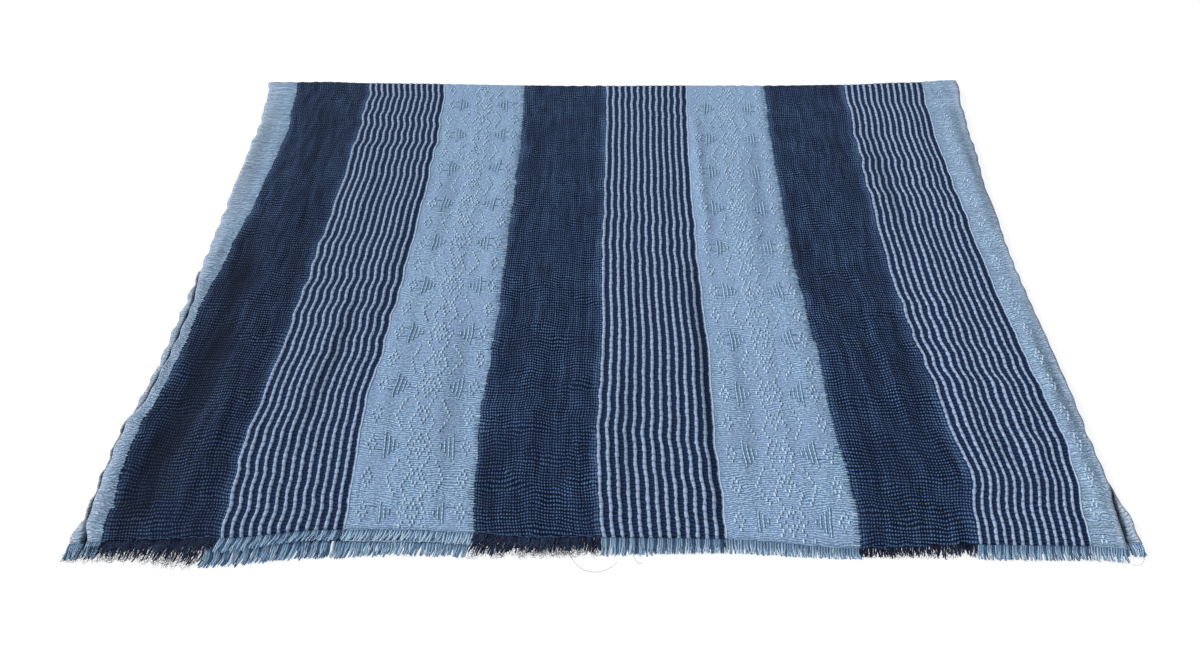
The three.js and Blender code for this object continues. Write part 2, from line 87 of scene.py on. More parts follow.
# Bands of the warp from left to right: weave, flat width, and columns of the cloth's mesh across it.
BANDS = (
    (EDGING, 10.2, 8),
    (PLAIN, 66.3, 30),
    (CORDED, 67.3, 0),
    (FIGURED, 71.4, 30),
    (PLAIN, 71.4, 32),
    (CORDED, 67.3, 0),
    (FIGURED, 71.4, 30),
    (PLAIN, 66.3, 30),
    (CORDED, 67.3, 0),
    (EDGING, 20.4, 12),
)
WEAVES = np.array([band[0] for band in BANDS])
WIDTHS = np.array([band[1] for band in BANDS])
STARTS = np.concatenate(([0], np.cumsum(WIDTHS)))


def table(names, rows):
    """Columns by name, from rows of numbers."""
    return dict(zip(names.split(), np.array(rows, float).T))


# Where the bands' edges lie, in sections across the cloth from the front to the fold.
EDGES = "selvedge1 plain1 corded1 figured1 plain2 corded2 figured2 plain3 corded3 figured3 selvedge2"
SECTIONS = table("y " + EDGES, (
    (-230, -281, -273.5, -208, -142, -71, -1, 65, 136, 199, 260, 279.5),
    (-205, -286, -276, -211.5, -144.5, -74, -4, 65, 138.5, 203, 263.5, 282),
    (-178, -288.7, -280, -213.5, -145, -75.5, -6, 64.5, 138, 208.5, 268, 285.5),
    (-150, -288.7, -280, -215, -148, -77, -6.5, 63.5, 135.5, 205, 271, 286),
    (-125, -282.7, -277.2, -213.5, -148, -77, -6, 64, 135, 204.5, 269.5, 287),
    (-90, -281, -275.5, -212, -146, -75.5, -4.5, 65, 135, 202, 268.5, 287.5),
    (-50, -282, -277, -211.5, -145, -74.5, -4.5, 64, 133, 199, 267.5, 287.5),
    (0, -289, -274.5, -211, -144, -74.5, -5.5, 63, 131, 198, 267, 287.5),
    (80, -292, -271, -210, -143, -74, -4.5, 63, 131.5, 200.5, 268.5, 292),
    (150, -294.5, -270.5, -210.5, -143.5, -74, -4, 64, 132.5, 203, 270, 299),
    (200, -300, -276, -212.5, -146, -76, -4, 66, 134.5, 206, 274, 304),
    (235, -307, -281, -216, -148.5, -77, -4.5, 67, 136.5, 208, 278, 310),
))

# The selvedges of the leaf under the upper one.
LOWER_SELVEDGES = table("y left right", (
    (-230, -291.5, 290), (-205, -289.8, 290.5), (-180, -291.2, 287), (-150, -292.4, 286),
    (-130, -289.2, 286.4), (-100, -288, 286.4), (-55, -289, 286), (-20, -290, 286), (50, -290, 288),
    (100, -290.6, 291), (150, -292.4, 295), (200, -297, 300), (235, -303.5, 305.5),
))

# The two woven ends at the front, how far the fringes reach from them, and the fold at the back.
ENDS = table("x upper upper_tips lower lower_tips fold", (
    (-292, -227, -233, -227, -234, 234), (-250, -224.6, -231, -225.5, -234.5, 235),
    (-212, -223, -230, -226, -237.2, 233.5), (-148, -217, -222.7, -222.6, -231, 233),
    (-110, -216.5, -222.3, -222.4, -228.8, 232.5), (-77, -217.8, -224, -222, -229.2, 232),
    (-40, -220.5, -227, -221.5, -228.5, 231.5), (-5, -219.5, -227.2, -218, -226, 232),
    (62, -219.5, -225.2, -216, -222.5, 233.5), (135, -223.5, -227.7, -217, -223, 234.5),
    (203, -220.8, -226.8, -217, -223, 236.5), (262, -221.2, -226.8, -218, -224, 241),
    (310, -225, -230.5, -220, -226, 246),
))

# Broad ridges in the upper leaf, each from one point to another.
RIDGES = table("x1 y1 x2 y2 width rise", (
    (-284, -215, -284, 40, 6, 1.6), (-292, 60, -298, 200, 9, 1.2), (-236, -200, -238, -60, 15, 1.6),
    (-240, -30, -250, 170, 13, 1.5), (-226, 60, -200, 205, 9, 0.9), (-196, -190, -176, -20, 9, 1.1),
    (-188, 10, -196, 160, 10, 1.0), (-160, -160, -158, 120, 6, 0.9), (-140, -205, -136, -30, 10, 1.2),
    (-112, -120, -104, 190, 14, 0.9), (-84, -60, -82, 180, 8, 1.2), (-50, -205, -44, -20, 13, 1.3),
    (-30, 0, -36, 190, 15, 1.2), (-16, -160, -12, -70, 7, 0.9), (22, -190, 8, 20, 10, 0.8),
    (40, -40, 34, 180, 12, 0.8), (70, 20, 70, 200, 8, 1.3), (96, -200, 104, 60, 16, 1.0),
    (124, -190, 122, 40, 8, 1.1), (150, -180, 148, -50, 6, 1.1), (166, -190, 160, -20, 6, 1.4),
    (182, -170, 176, 10, 6, 1.2), (178, 40, 168, 200, 11, 1.2), (216, -180, 226, -40, 8, 1.3),
    (236, -90, 222, 90, 9, 1.2), (252, -200, 246, -110, 7, 1.1), (250, 40, 254, 200, 9, 1.0),
    (276, -200, 278, -20, 7, 1.5), (282, 10, 290, 190, 8, 1.7),
))

# Smaller creases: soft troughs, with a fall, and the folds that stand up beside them.
CREASES = table("x1 y1 x2 y2 width rise", (
    (-262, 25, -255, -75, 9, -1.2), (-255, -75, -254, -130, 10, -1.5), (-256, -125, -265, -180, 10, -1.8),
    (-265, -180, -261, -214, 9, -1.6), (-274, -60, -271, -190, 5, 0.9), (-231, -110, -236, -205, 7, 0.8),
    (-68, -170, -66, -208, 8, -1.1), (-47, -110, -41, -212, 6, 0.9), (-59, -20, -60, -120, 5, -0.6),
    (-22, -60, -24, -190, 5, 0.6), (-60, 40, -56, 190, 6, -0.7), (-12, 60, -20, 180, 4, 0.5),
    (140, -19, 134, 60, 6, -1.0), (142, -19, 168, -75, 6, -1.0), (168, -75, 168, -119, 6, -0.9),
    (174, -60, 181, -118, 4, 0.7), (192, -40, 190, -150, 5, -0.8), (152, -130, 154, -200, 6, -0.7),
    (60, -7, 62, -205, 6, -1.1), (54, -60, 57, -190, 3.5, 0.5), (238, -100, 262, -150, 6, 1.3),
    (262, -150, 240, -172, 6, 1.0), (245, -120, 262, -160, 3.5, -0.9), (226, -150, 250, -190, 5, -0.6),
    (255, -60, 262, -110, 4, 0.8), (-149, -60, -147, -190, 3, 0.8), (-146, 20, -145, 190, 3, 0.6),
    (-96, -60, -92, -200, 7, -0.6), (-124, 0, -122, 120, 5, -0.5), (-118, -130, -122, -205, 5, 0.5),
    (71, -10, 72, 190, 3, 0.7), (86, -60, 84, -200, 6, -0.5), (112, -10, 118, 150, 6, -0.6),
    (104, -130, 110, -205, 5, 0.5), (-203, -120, -214, -205, 4, 0.6), (-170, -40, -182, -150, 4, -0.6),
    (14, -100, 10, -205, 5, -0.6), (30, -60, 34, -170, 4, 0.5), (218, 10, 216, 150, 5, -0.7),
    (272, -90, 275, -190, 4, 0.8), (280, -60, 282, -160, 3.5, -0.7), (-288, 40, -293, 190, 5, 0.7),
    (-282, 60, -288, 190, 4, -0.6), (286, 40, 296, 200, 4, -0.7), (-236, 90, -246, 200, 6, -0.6),
    (190, 70, 186, 190, 5, -0.6), (150, 40, 158, 170, 5, 0.5), (-222, -40, -228, 60, 5, -0.5),
))


def smooth(at, start, end):
    """0 before the start, 1 past the end, and a soft rise between."""
    share = np.clip((at - start) / (end - start), 0, 1)
    return share * share * (3 - 2 * share)


def look_up(rows, key, at, column):
    """A value from a table's column, blended smoothly between its rows."""
    at = np.clip(at, rows[key][0], rows[key][-1])
    i = np.clip(np.searchsorted(rows[key], at, side="right") - 1, 0, len(rows[key]) - 2)
    share = smooth(at, rows[key][i], rows[key][i + 1])
    return rows[column][i] * (1 - share) + rows[column][i + 1] * share


def end_line(x, column):
    """y of one of the lines of the table of ends."""
    return look_up(ENDS, "x", x, column)


def selvedges(y):
    """x of the upper leaf's two selvedges."""
    return look_up(SECTIONS, "y", y, "selvedge1"), look_up(SECTIONS, "y", y, "selvedge2")


def band_of(thread):
    """The band that a thread lies in."""
    return np.clip(np.floor(thread).astype(int), 0, len(BANDS) - 1)


def past_strip(x, y):
    """How far a point stands out past the front of the lower woven end."""
    return np.maximum(0, end_line(x, "lower") - LOWER_STRIP - y)


def sag(x, y):
    """How far the upper leaf sinks there."""
    out = past_strip(x, y)
    return SINKING * out * out / (out + SINKING_START)


def inside_share(x, y):
    """0 up to 9 mm from the selvedges and the front, and 1 from 24 mm in."""
    first, last = selvedges(y)
    return smooth(np.minimum(np.minimum(x - first, last - x), y - FRONT_Y), 9, 24)


def relief(rows, x, y):
    """How far the ridges of a table lift the cloth. Each falls away over its width and towards its ends."""
    lift = np.zeros(np.broadcast(x, y).shape)
    for x1, y1, x2, y2, width, rise in zip(*rows.values()):
        dx, dy = x2 - x1, y2 - y1
        share = np.clip(((x - x1) * dx + (y - y1) * dy) / (dx * dx + dy * dy), 0, 1)
        away = np.hypot(x - x1 - share * dx, y - y1 - share * dy)
        ends = np.sin(math.pi * np.clip(share, 0.06, 0.94)) ** 0.5
        lift += rise * ends * np.exp(-((away / width) ** 2))
    return lift


def warp_x(thread, y):
    """Where a warp thread lies. A thread is its band's number and its share of the way across the band."""
    thread, y = np.broadcast_arrays(np.asarray(thread, float), y)
    lines = np.stack([look_up(SECTIONS, "y", y, edge) for edge in EDGES.split()])
    band = band_of(thread)
    left = np.take_along_axis(lines, band[None], 0)[0]
    right = np.take_along_axis(lines, band[None] + 1, 0)[0]
    return left + (thread - band) * (right - left)


def sway(x, y):
    """The small sideways waves of the warp threads, which the crinkle leaves in step with their neighbours.
    They are 23, 58 and 12 mm long, and their size goes by the place across the cloth."""
    size = np.interp(x, (-300, -220, -130, 0, 120, 200, 272, 295), (0.3, 0.7, 0.6, 0.32, 0.4, 0.6, 0.4, 0.0))
    slow = np.sin(y / 3.7 + x / 34 + 1.6 * np.sin(x / 61)) * (0.55 + 0.45 * np.sin(y / 31 + x / 50))
    return size * (slow + 0.8 * np.sin(y / 9.3 + x / 45 + 2) + 0.12 * np.sin(y / 1.9 + x / 9))


def edge_wave(x, y):
    """Scallops of the two selvedges: sideways, and up and down."""
    first, last = selvedges(y)
    left = np.clip(1 - (x - first) / SCALLOPED, 0, 1) ** 1.5
    right = np.clip(1 - (last - x) / SCALLOPED, 0, 1) ** 1.5
    beat_left = y * 2 * math.pi / SCALLOP_LENGTHS[0] + 1.6 * np.sin(y / 41)
    beat_right = y * 2 * math.pi / SCALLOP_LENGTHS[1] + 1.3 * np.sin(y / 37)
    left, right = left * (0.65 + 0.35 * np.sin(y / 19)), right * (0.6 + 0.4 * np.sin(y / 23 + 2))
    aside = left * 0.8 * np.sin(beat_left) + right * 0.32 * np.sin(beat_right)
    up = left * 0.55 * np.sin(beat_left + 1.1) + right * 0.25 * np.sin(beat_right + 0.7)
    return aside, up


def crinkle(thread, x, y):
    """The fine crinkle that the finishing bath leaves, deepest in the open gauze: creases along the warp,
    11.3 and 6.7 mm apart, and puckers across it, 17 mm apart. Each comes and goes and wanders a little."""
    depth = np.choose(WEAVES[band_of(thread)], (1.0, 0.55, 0.75, 0.9))
    wide_at = (x + 3.2 * np.sin(y / 15 + x / 60)) * 2 * math.pi / 11.3
    narrow_at = (x + 1.8 * np.sin(y / 7.5)) * 2 * math.pi / 6.7 + y / 40
    across_at = y * 2 * math.pi / 17 + 2.5 * np.sin(x / 19)
    wide = np.sin(wide_at) * (0.55 + 0.45 * np.sin(y / 11 + x / 23))
    narrow = np.sin(narrow_at) * (0.5 + 0.5 * np.sin(y / 8.3 - x / 14))
    across = np.sin(across_at) * (0.6 + 0.4 * np.sin(x / 12 + y / 25))
    return depth * (0.34 * wide + 0.18 * narrow + 0.16 * across)


def on_cloth(thread, y, lift=0.0):
    """A point of the upper leaf's outside, without the cords, over a thread at y."""
    thread, y = np.broadcast_arrays(np.asarray(thread, float), np.asarray(y, float))
    x = warp_x(thread, y)
    near_fold = 1 - 0.5 * smooth(y, 195, 225)
    aside, up = edge_wave(x, y)
    folds = RIDGE_GAIN * relief(RIDGES, x, y) + CREASE_GAIN * relief(CREASES, x, y)
    height = near_fold * folds + crinkle(thread, x, y) + up
    lowest = LOWEST_OUTSIDE - LOWERED * inside_share(x, y)
    z = lowest + SOFTENING * np.logaddexp(0, (LEAF_TOP + height - lowest) / SOFTENING) - sag(x, y)
    return np.stack((x + sway(x, y) + aside, y, z + lift), -1)


# From the tables' origin to the frame's: the left selvedge and the fold come to the solid's.
shift = np.array((
    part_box("upper_leaf")[0].x * 1000 - SECTIONS["selvedge1"].min(),
    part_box("upper_leaf")[1].y * 1000 - ENDS["fold"].max(),
    0.0,
))


def to_frame(points):
    """Points in metres in the frame, from points in millimetres."""
    return (np.asarray(points).reshape(-1, 3) + shift) / 1000


# ---------------------------------------------------------------- meshes
def new_piece(name, points, faces, material):
    """A piece that rides on the root body, from its points and faces."""
    mesh = bpy.data.meshes.new(name)
    mesh.from_pydata(to_frame(points).tolist(), [], faces)
    mesh.shade_smooth()
    piece = bpy.data.objects.new(name, mesh)
    bpy.context.scene.collection.objects.link(piece)
    piece.data.materials.append(material)
    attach(piece, "root")
    return piece


def mark_cloth(piece, thread, along, shaded):
    """Gives a cloth its two maps, both in millimetres, its weave, and how far it lies in a fold's shade.
    cloth: across the flat cloth and along it. band: from the band's left edge and to its right one."""
    mesh = piece.data
    corners = np.empty(len(mesh.loops), np.int32)
    mesh.loops.foreach_get("vertex_index", corners)
    starts = np.empty(len(mesh.polygons), np.int32)
    mesh.polygons.foreach_get("loop_start", starts)
    counts = np.diff(np.append(starts, len(corners)))
    middle = np.add.reduceat(thread[corners], starts) / counts
    band = band_of(middle)
    here = np.repeat(band, counts)
    share = thread[corners] - here
    from_left = share * WIDTHS[here]
    cords = share / (1 - LAST_GROUND) * CORD_COUNT * CORD_PITCH
    from_left = np.where(WEAVES[here] == CORDED, cords, from_left)
    to_right = (1 - share) * WIDTHS[here]
    across = STARTS[here] + share * WIDTHS[here]
    for name, values in (("cloth", (across, along[corners])), ("band", (from_left, to_right))):
        layer = mesh.uv_layers.new(name=name)
        layer.data.foreach_set("uv", np.stack(values, 1).astype(np.float32).ravel())
    weave = mesh.attributes.new("weave", "FLOAT", "FACE")
    weave.data.foreach_set("value", WEAVES[band].astype(np.float32))
    shade = mesh.attributes.new("shaded", "FLOAT", "POINT")
    shade.data.foreach_set("value", shaded.astype(np.float32))


def net_faces(net):
    """Faces over a net of points, whose columns run to the right and whose rows run away."""
    corners = (net[:-1, :-1], net[:-1, 1:], net[1:, 1:], net[1:, :-1])
    return np.stack(corners, -1).reshape(-1, 4)


def stitch(one, other, one_places, other_places):
    """Faces between two rows of points that run the same way and may differ in number."""
    faces, i, j = [], 0, 0
    while i < len(one) - 1 or j < len(other) - 1:
        if i < len(one) - 1 and (j == len(other) - 1 or one_places[i + 1] <= other_places[j + 1]):
            faces.append([one[i], one[i + 1], other[j]])
            i += 1
        else:
            faces.append([one[i], other[j + 1], other[j]])
            j += 1
    return faces


def cloth_threads():
    """The warp threads that the upper leaf's mesh follows, and the cord's rise at each."""
    threads = [(0.0, 0.0)]
    for band, (weave, _, columns) in enumerate(BANDS):
        if weave == CORDED:
            for cord in range(CORD_COUNT):
                for place, rise in CORD_PROFILE:
                    threads.append((band + (cord + CORD_PLACE + place) * CORD_SHARE, rise * CORD_RISE))
        else:
            threads += [(band + i / columns, 0.0) for i in range(1, columns)]
        threads.append((band + 1.0, 0.0))
    return np.array(threads).T


# Rows of the upper leaf's mesh in each of its three parts.
FLAT_ROWS, FOLD_ROWS, RETURN_ROWS = 186, 9, 3


def leaf_rows():
    """Rows of the upper leaf: its flat part, its turn round the fold, and its return below."""
    flat = [("flat", i / FLAT_ROWS) for i in range(FLAT_ROWS + 1)]
    fold = [("fold", i / FOLD_ROWS) for i in range(1, FOLD_ROWS + 1)]
    return flat + fold + [("return", i / RETURN_ROWS) for i in range(1, RETURN_ROWS + 1)]


def leaf_net(rows, thread, rise, depth):
    """Points of the upper leaf, depth below its outside, and how far along the cloth each lies."""
    woven = end_line(warp_x(thread, END_Y), "upper")
    fold_start = end_line(warp_x(thread, BACK_Y), "fold") - FOLD_RADIUS - FOLD_SLACK
    top = on_cloth(thread, fold_start)
    radius = top[:, 2] / 2
    points, along = [], []
    for part, share in rows:
        if part == "flat":
            y = woven + (fold_start - woven) * share
            points.append(on_cloth(thread, y, rise - depth))
            along.append(y)
        elif part == "fold":
            angle = math.pi * (0.5 - share)
            reach = radius + rise * (1 - share) - depth
            y, z = fold_start + reach * math.cos(angle), radius + reach * math.sin(angle)
            points.append(np.stack((top[:, 0], y, z), 1))
            along.append(fold_start + radius * math.pi * share)
        else:
            y = fold_start - FOLD_RETURN * share
            x = warp_x(thread, y) * share + top[:, 0] * (1 - share)
            points.append(np.stack((x, y, np.full(len(y), depth)), 1))
            along.append(fold_start + radius * math.pi + FOLD_RETURN * share)
    return np.array(points), np.array(along)


def closed_cloth(outer, inner, thread, inner_thread, rows, inner_rows):
    """Faces of a cloth from its outer net and a coarser inner one, closed all round."""
    faces = net_faces(outer).tolist() + net_faces(inner)[:, ::-1].tolist()
    front = stitch(outer[0], inner[0], thread, inner_thread)
    faces += [face[::-1] for face in front]
    faces += stitch(outer[-1], inner[-1], thread, inner_thread)
    faces += stitch(outer[:, 0], inner[:, 0], rows, inner_rows)
    faces += [face[::-1] for face in stitch(outer[:, -1], inner[:, -1], rows, inner_rows)]
    return [[int(v) for v in face] for face in faces]


def every(count, step):
    """Every step-th number below count, and the last one."""
    return np.unique(np.append(np.arange(0, count, step), count - 1))


def make_upper_leaf(material):
    """The first quarter of the cloth: from its woven end to the fold, round it and a little way back."""
    rows = leaf_rows()
    thread, rise = cloth_threads()
    columns, kept_rows = every(len(thread), 3), every(len(rows), 2)
    outer, along = leaf_net(rows, thread, rise, 0.0)
    inner, inner_along = leaf_net([rows[i] for i in kept_rows], thread[columns], 0 * columns, LEAF_THICKNESS)
    points = np.concatenate((outer.reshape(-1, 3), inner.reshape(-1, 3)))
    outer_net = np.arange(along.size).reshape(along.shape)
    inner_net = outer_net.size + np.arange(inner_along.size).reshape(inner_along.shape)
    places = np.arange(len(rows))
    faces = closed_cloth(outer_net, inner_net, thread, thread[columns], places, places[kept_rows])
    piece = new_piece("upper_cloth", points, faces, material)

    # less light comes into the creases, and onto the first gauze, most of all near its front
    threads = np.concatenate((np.tile(thread, len(rows)), np.tile(thread[columns], len(kept_rows))))
    creased = np.clip(-relief(CREASES, points[:, 0], points[:, 1]) / 2.2, 0, 0.75)
    turned_away = np.where(np.floor(threads) == 1, 0.32 - 0.12 * smooth(points[:, 1], -60, 120), 0.0)
    shaded = np.clip(creased + turned_away, 0, 0.8)
    mark_cloth(piece, threads, np.concatenate((along.ravel(), inner_along.ravel())), shaded)
    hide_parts("upper_leaf")
    return piece


# The three leaves below, from the lowest: height of the middle, how far each stands in at the sides, and
# where its scallops start.
LOWER_LEAVES = table("z inset phase", ((0.62, 2.2, 0.4), (2.36, 1.2, 2.3), (4.1, 0.0, 4.1)))
LOWER_THICKNESS = 1.1
# How far in the front fold lies from the lower woven end, and the inner fold from the fold above it.
FRONT_FOLD_SET_BACK = 5.0
INNER_FOLD_SET_BACK = 4.0
# The gap between the two cloths where they meet below, and where the lower one's map starts.
CLOTH_GAP = 0.4
LOWER_MAP_START = -40.0
LOWER_ROWS, TURN_ROWS = 150, 6


def lower_x(thread, y, leaf):
    """Where a thread of a lower leaf lies."""
    first, last = selvedges(y)
    across = (warp_x(thread, y) - first) / (last - first)
    beat = y * 2 * math.pi / (16.5 + leaf) + LOWER_LEAVES["phase"][leaf]
    scallop = 0.8 * np.sin(beat) + 0.3 * np.sin(2.3 * beat)
    left = look_up(LOWER_SELVEDGES, "y", y, "left") + LOWER_LEAVES["inset"][leaf] + scallop
    right = look_up(LOWER_SELVEDGES, "y", y, "right") - LOWER_LEAVES["inset"][leaf] - 0.45 * scallop
    return left + across * (right - left)


def lower_threads():
    """The warp threads that the lower leaves' mesh follows, closest near the selvedges, which show."""
    left_edge = (0.0, 0.08, 0.16, 0.25, 0.35, 0.45, 0.6, 0.8)
    right_edge = (9.0, 9.35, 9.6, 9.7, 9.78, 9.86, 9.93, 10.0)
    shares = np.array((0.0, 0.15, 0.35, 0.55, 0.8))
    return np.concatenate((left_edge, *[band + shares for band in range(1, 9)], right_edge))


def lower_nets(thread):
    """Points of the lower cloth's two faces, and how far along the cloth each lies, row by row."""
    z = LOWER_LEAVES["z"]
    turn = (z[1] - z[0]) / 2
    woven = end_line(warp_x(thread, END_Y), "lower")
    back_edge = end_line(warp_x(thread, BACK_Y), "fold")
    front_fold = woven + FRONT_FOLD_SET_BACK + turn
    inner_fold = back_edge - INNER_FOLD_SET_BACK - turn
    return_end = back_edge - FOLD_RADIUS - FOLD_SLACK - FOLD_RETURN - CLOTH_GAP
    spans = ((return_end, front_fold), (front_fold, inner_fold), (inner_fold, woven))
    nets, along = {1: [], -1: []}, []
    travelled = 0.0
    for leaf, (start, stop) in enumerate(spans):
        way = 1.0 if leaf == 1 else -1.0
        for i in range(LOWER_ROWS + 1):
            share = i / LOWER_ROWS
            y = start + (stop - start) * share
            x = lower_x(thread, y, leaf)
            edge = np.clip(1 - np.minimum(x - x[0], x[-1] - x) / 14, 0, 1)
            ripple = 0.22 * edge * np.sin(y / 2.7 + leaf) if leaf else 0.0
            middle = z[leaf] + ripple - LOWERED * leaf / 2 * inside_share(x, y)
            for side in (1, -1):
                nets[side].append(np.stack((x, y, middle + side * way * LOWER_THICKNESS / 2), 1))
            along.append(LOWER_MAP_START - travelled - np.abs(y - start))
        travelled += float(np.abs(stop - start).mean())
        for i in range(1, TURN_ROWS) if leaf < 2 else ():
            angle = math.pi * i / TURN_ROWS
            next_x = lower_x(thread, stop, leaf + 1)
            x = lower_x(thread, stop, leaf) * (1 - i / TURN_ROWS) + next_x * i / TURN_ROWS
            for side in (1, -1):
                size = turn - side * way * LOWER_THICKNESS / 2
                y = stop + way * math.sin(angle) * size
                height = (z[leaf] + z[leaf + 1]) / 2 - size * math.cos(angle)
                nets[side].append(np.stack((x, y, np.full(len(x), height)), 1))
            along.append(np.full(len(x), LOWER_MAP_START - travelled))
    return np.array(nets[1]), np.array(nets[-1]), np.array(along)


def make_lower_leaves(material):
    """The other three quarters, one length of cloth: forward along the surface, round the front fold, back,
    round the inner fold, and forward to its woven end."""
    thread = lower_threads()
    outer, inner, along = lower_nets(thread)
    net = np.arange(along.size).reshape(along.shape)
    places = np.arange(len(along))
    faces = closed_cloth(net, net + net.size, thread, thread, places, places)
    points = np.concatenate((outer.reshape(-1, 3), inner.reshape(-1, 3)))
    piece = new_piece("lower_cloth", points, faces, material)

    # little light comes under the upper leaf and just outside its selvedges, but some falls on the rims
    x, y = points[:, 0], points[:, 1]
    first, last = selvedges(y)
    near = np.minimum(1 - smooth(first - x, 3.2, 4.2), 1 - smooth(x - last, 2.6, 3.6))
    threads = np.tile(thread, 2 * len(places))
    from_edge = np.minimum(threads * WIDTHS[0], (len(BANDS) - threads) * WIDTHS[-1])
    mark_cloth(piece, threads, np.tile(along.ravel(), 2), near * smooth(from_edge, 0.3, 1.4))
    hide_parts("under_leaves")
    return piece


# ---------------------------------------------------------------- threads on the cloth and its ends
TINY = 1e-9


def make_strands(name, batches, material, sides=4):
    """Yarns as closed tubes. A batch is routes, half widths, half heights and shades, station by station.
    Their map is round the yarn and along it in millimetres, and shade runs from navy, 0, to pale blue, 1."""
    points, faces, shades, around, along = [], [], [], [], []
    offset = 0
    for routes, wide, high, shade in batches:
        count, stations = routes.shape[:2]
        direction = np.gradient(routes, axis=1)
        direction /= np.linalg.norm(direction, axis=2, keepdims=True) + TINY
        # a yarn's side is level, and where the yarn stands nearly upright it is X
        side = np.cross(direction, (0.0, 0.0, 1.0))
        level = np.linalg.norm(side, axis=2, keepdims=True)
        side = np.where(level > 0.15, side / (level + TINY), (1.0, 0.0, 0.0))
        up = np.cross(side, direction)
        turn = 2 * math.pi * np.arange(sides) / sides
        ring = (side[:, :, None] * (wide[:, :, None] * np.cos(turn))[..., None]
                + up[:, :, None] * (high[:, :, None] * np.sin(turn))[..., None])
        points.append((routes[:, :, None] + ring).reshape(-1, 3))
        net = offset + np.arange(count * stations * sides).reshape(count, stations, sides)
        turned = np.roll(net, -1, 2)
        quads = np.stack((net[:, :-1], turned[:, :-1], turned[:, 1:], net[:, 1:]), -1)
        faces += quads.reshape(-1, 4)[:, ::-1].tolist()
        faces += net[:, 0].tolist() + net[:, -1, ::-1].tolist()
        steps = np.linalg.norm(np.diff(routes, axis=1), axis=2)
        run = np.concatenate((np.zeros((count, 1)), np.cumsum(steps, 1)), 1)
        # each yarn's map starts 0.37 mm further on, so that the twists of neighbours don't line up
        run = run + np.arange(count)[:, None] * 0.37
        shades.append(np.repeat(shade.ravel(), sides))
        around.append(np.tile(np.abs(2 * np.arange(sides) / sides - 1), count * stations))
        along.append(np.repeat(run.ravel(), sides))
        offset += count * stations * sides
    piece = new_piece(name, np.concatenate(points), faces, material)
    mesh = piece.data
    attribute = mesh.attributes.new("shade", "FLOAT", "POINT")
    attribute.data.foreach_set("value", np.concatenate(shades).astype(np.float32))
    corners = np.empty(len(mesh.loops), np.int32)
    mesh.loops.foreach_get("vertex_index", corners)
    layer = mesh.uv_layers.new(name="yarn")
    values = np.stack((np.concatenate(around), np.concatenate(along)), 1)[corners]
    layer.data.foreach_set("uv", values.astype(np.float32).ravel())
    return piece


def one_strand(route, wide, high, shade):
    """A batch of one yarn. Its sizes and its shade are each one number, or one for each station."""
    return (route[None], *[np.broadcast_to(value, (1, len(route))) for value in (wide, high, shade)])


# Loose threads are scattered by chance, in the same way each run.
random = np.random.default_rng(7)

# The brocade: dashes, bars and rungs of thick weft in a repeat of 16 rows, mirrored about its middle column.
COLUMN = 1.27
ROW = 2.8
MIDDLE = 28
REPEAT = 16
REPEATS = range(-1, 11)
# Columns of the dashes in each row.
DASH_ROWS = {
    0: (4, 8, 22, 25), 1: (5, 7, 23, 26, 28), 2: (6, 24, 27), 3: (25, 28), 4: (19, 24), 5: (18, 23),
    6: (6, 17, 22, 28), 7: (5, 7, 16, 23, 27), 8: (4, 8, 15, 24, 26), 9: (5, 7, 16, 25, 27),
    10: (6, 17, 26, 28), 11: (18, 25), 12: (19, 24), 13: (23, 28), 14: (6, 24, 27), 15: (5, 7, 23, 26, 28),
}
# Bars of a star: column, and first and last row from the star's middle. Its rungs: row, and two columns.
STAR_BARS = ((12, -3.4, 3.4), (14, -2.4, 2.4), (16, -1.5, 1.5), (18, -0.7, 0.7))
STAR_RUNGS = ((-1.3, 8.5, 12.6), (1.3, 8.5, 12.6))
# Bands of brocade, and y of one star's middle in each. The narrow one, at the right, has only the dashes, and
# only on the first part of its width.
BROCADES = ((3, -206.0), (6, -209.0), (9, -199.0))
NARROW_BROCADE = 9
NARROW_SHARE = 0.72
# No rung lies in front of the first line, and no part of the brocade beyond the second.
FIRST_RUNG_Y = -205.0
BROCADE_BACK_Y = 226.0
BAR_STATIONS = 25


def brocade_thread(band, column):
    """The thread under the middle of a column of the brocade."""
    return band + (column + 0.5) * COLUMN / WIDTHS[band]


def mirrored(column):
    """A column and its mirror image about the middle one."""
    return {column, 2 * MIDDLE - column}


def brocade_dashes():
    """The thread and y of every dash's middle."""
    dashes = []
    for band, star in BROCADES:
        last = band + (NARROW_SHARE if band == NARROW_BROCADE else 1.0)
        for repeat in REPEATS:
            base = star + repeat * REPEAT * ROW
            for row, columns in DASH_ROWS.items():
                for column in columns:
                    places = [brocade_thread(band, place) for place in mirrored(column)]
                    dashes += [(thread, base + row * ROW) for thread in places if thread < last]
    thread, y = np.array(dashes).T
    inside = (y > end_line(warp_x(thread, y), "upper") + 1.6) & (y < BROCADE_BACK_Y)
    return thread[inside], y[inside]


def stars():
    """The band and the y of every star's middle."""
    wide = [row for row in BROCADES if row[0] != NARROW_BROCADE]
    return [(band, star + repeat * REPEAT * ROW) for band, star in wide for repeat in REPEATS]


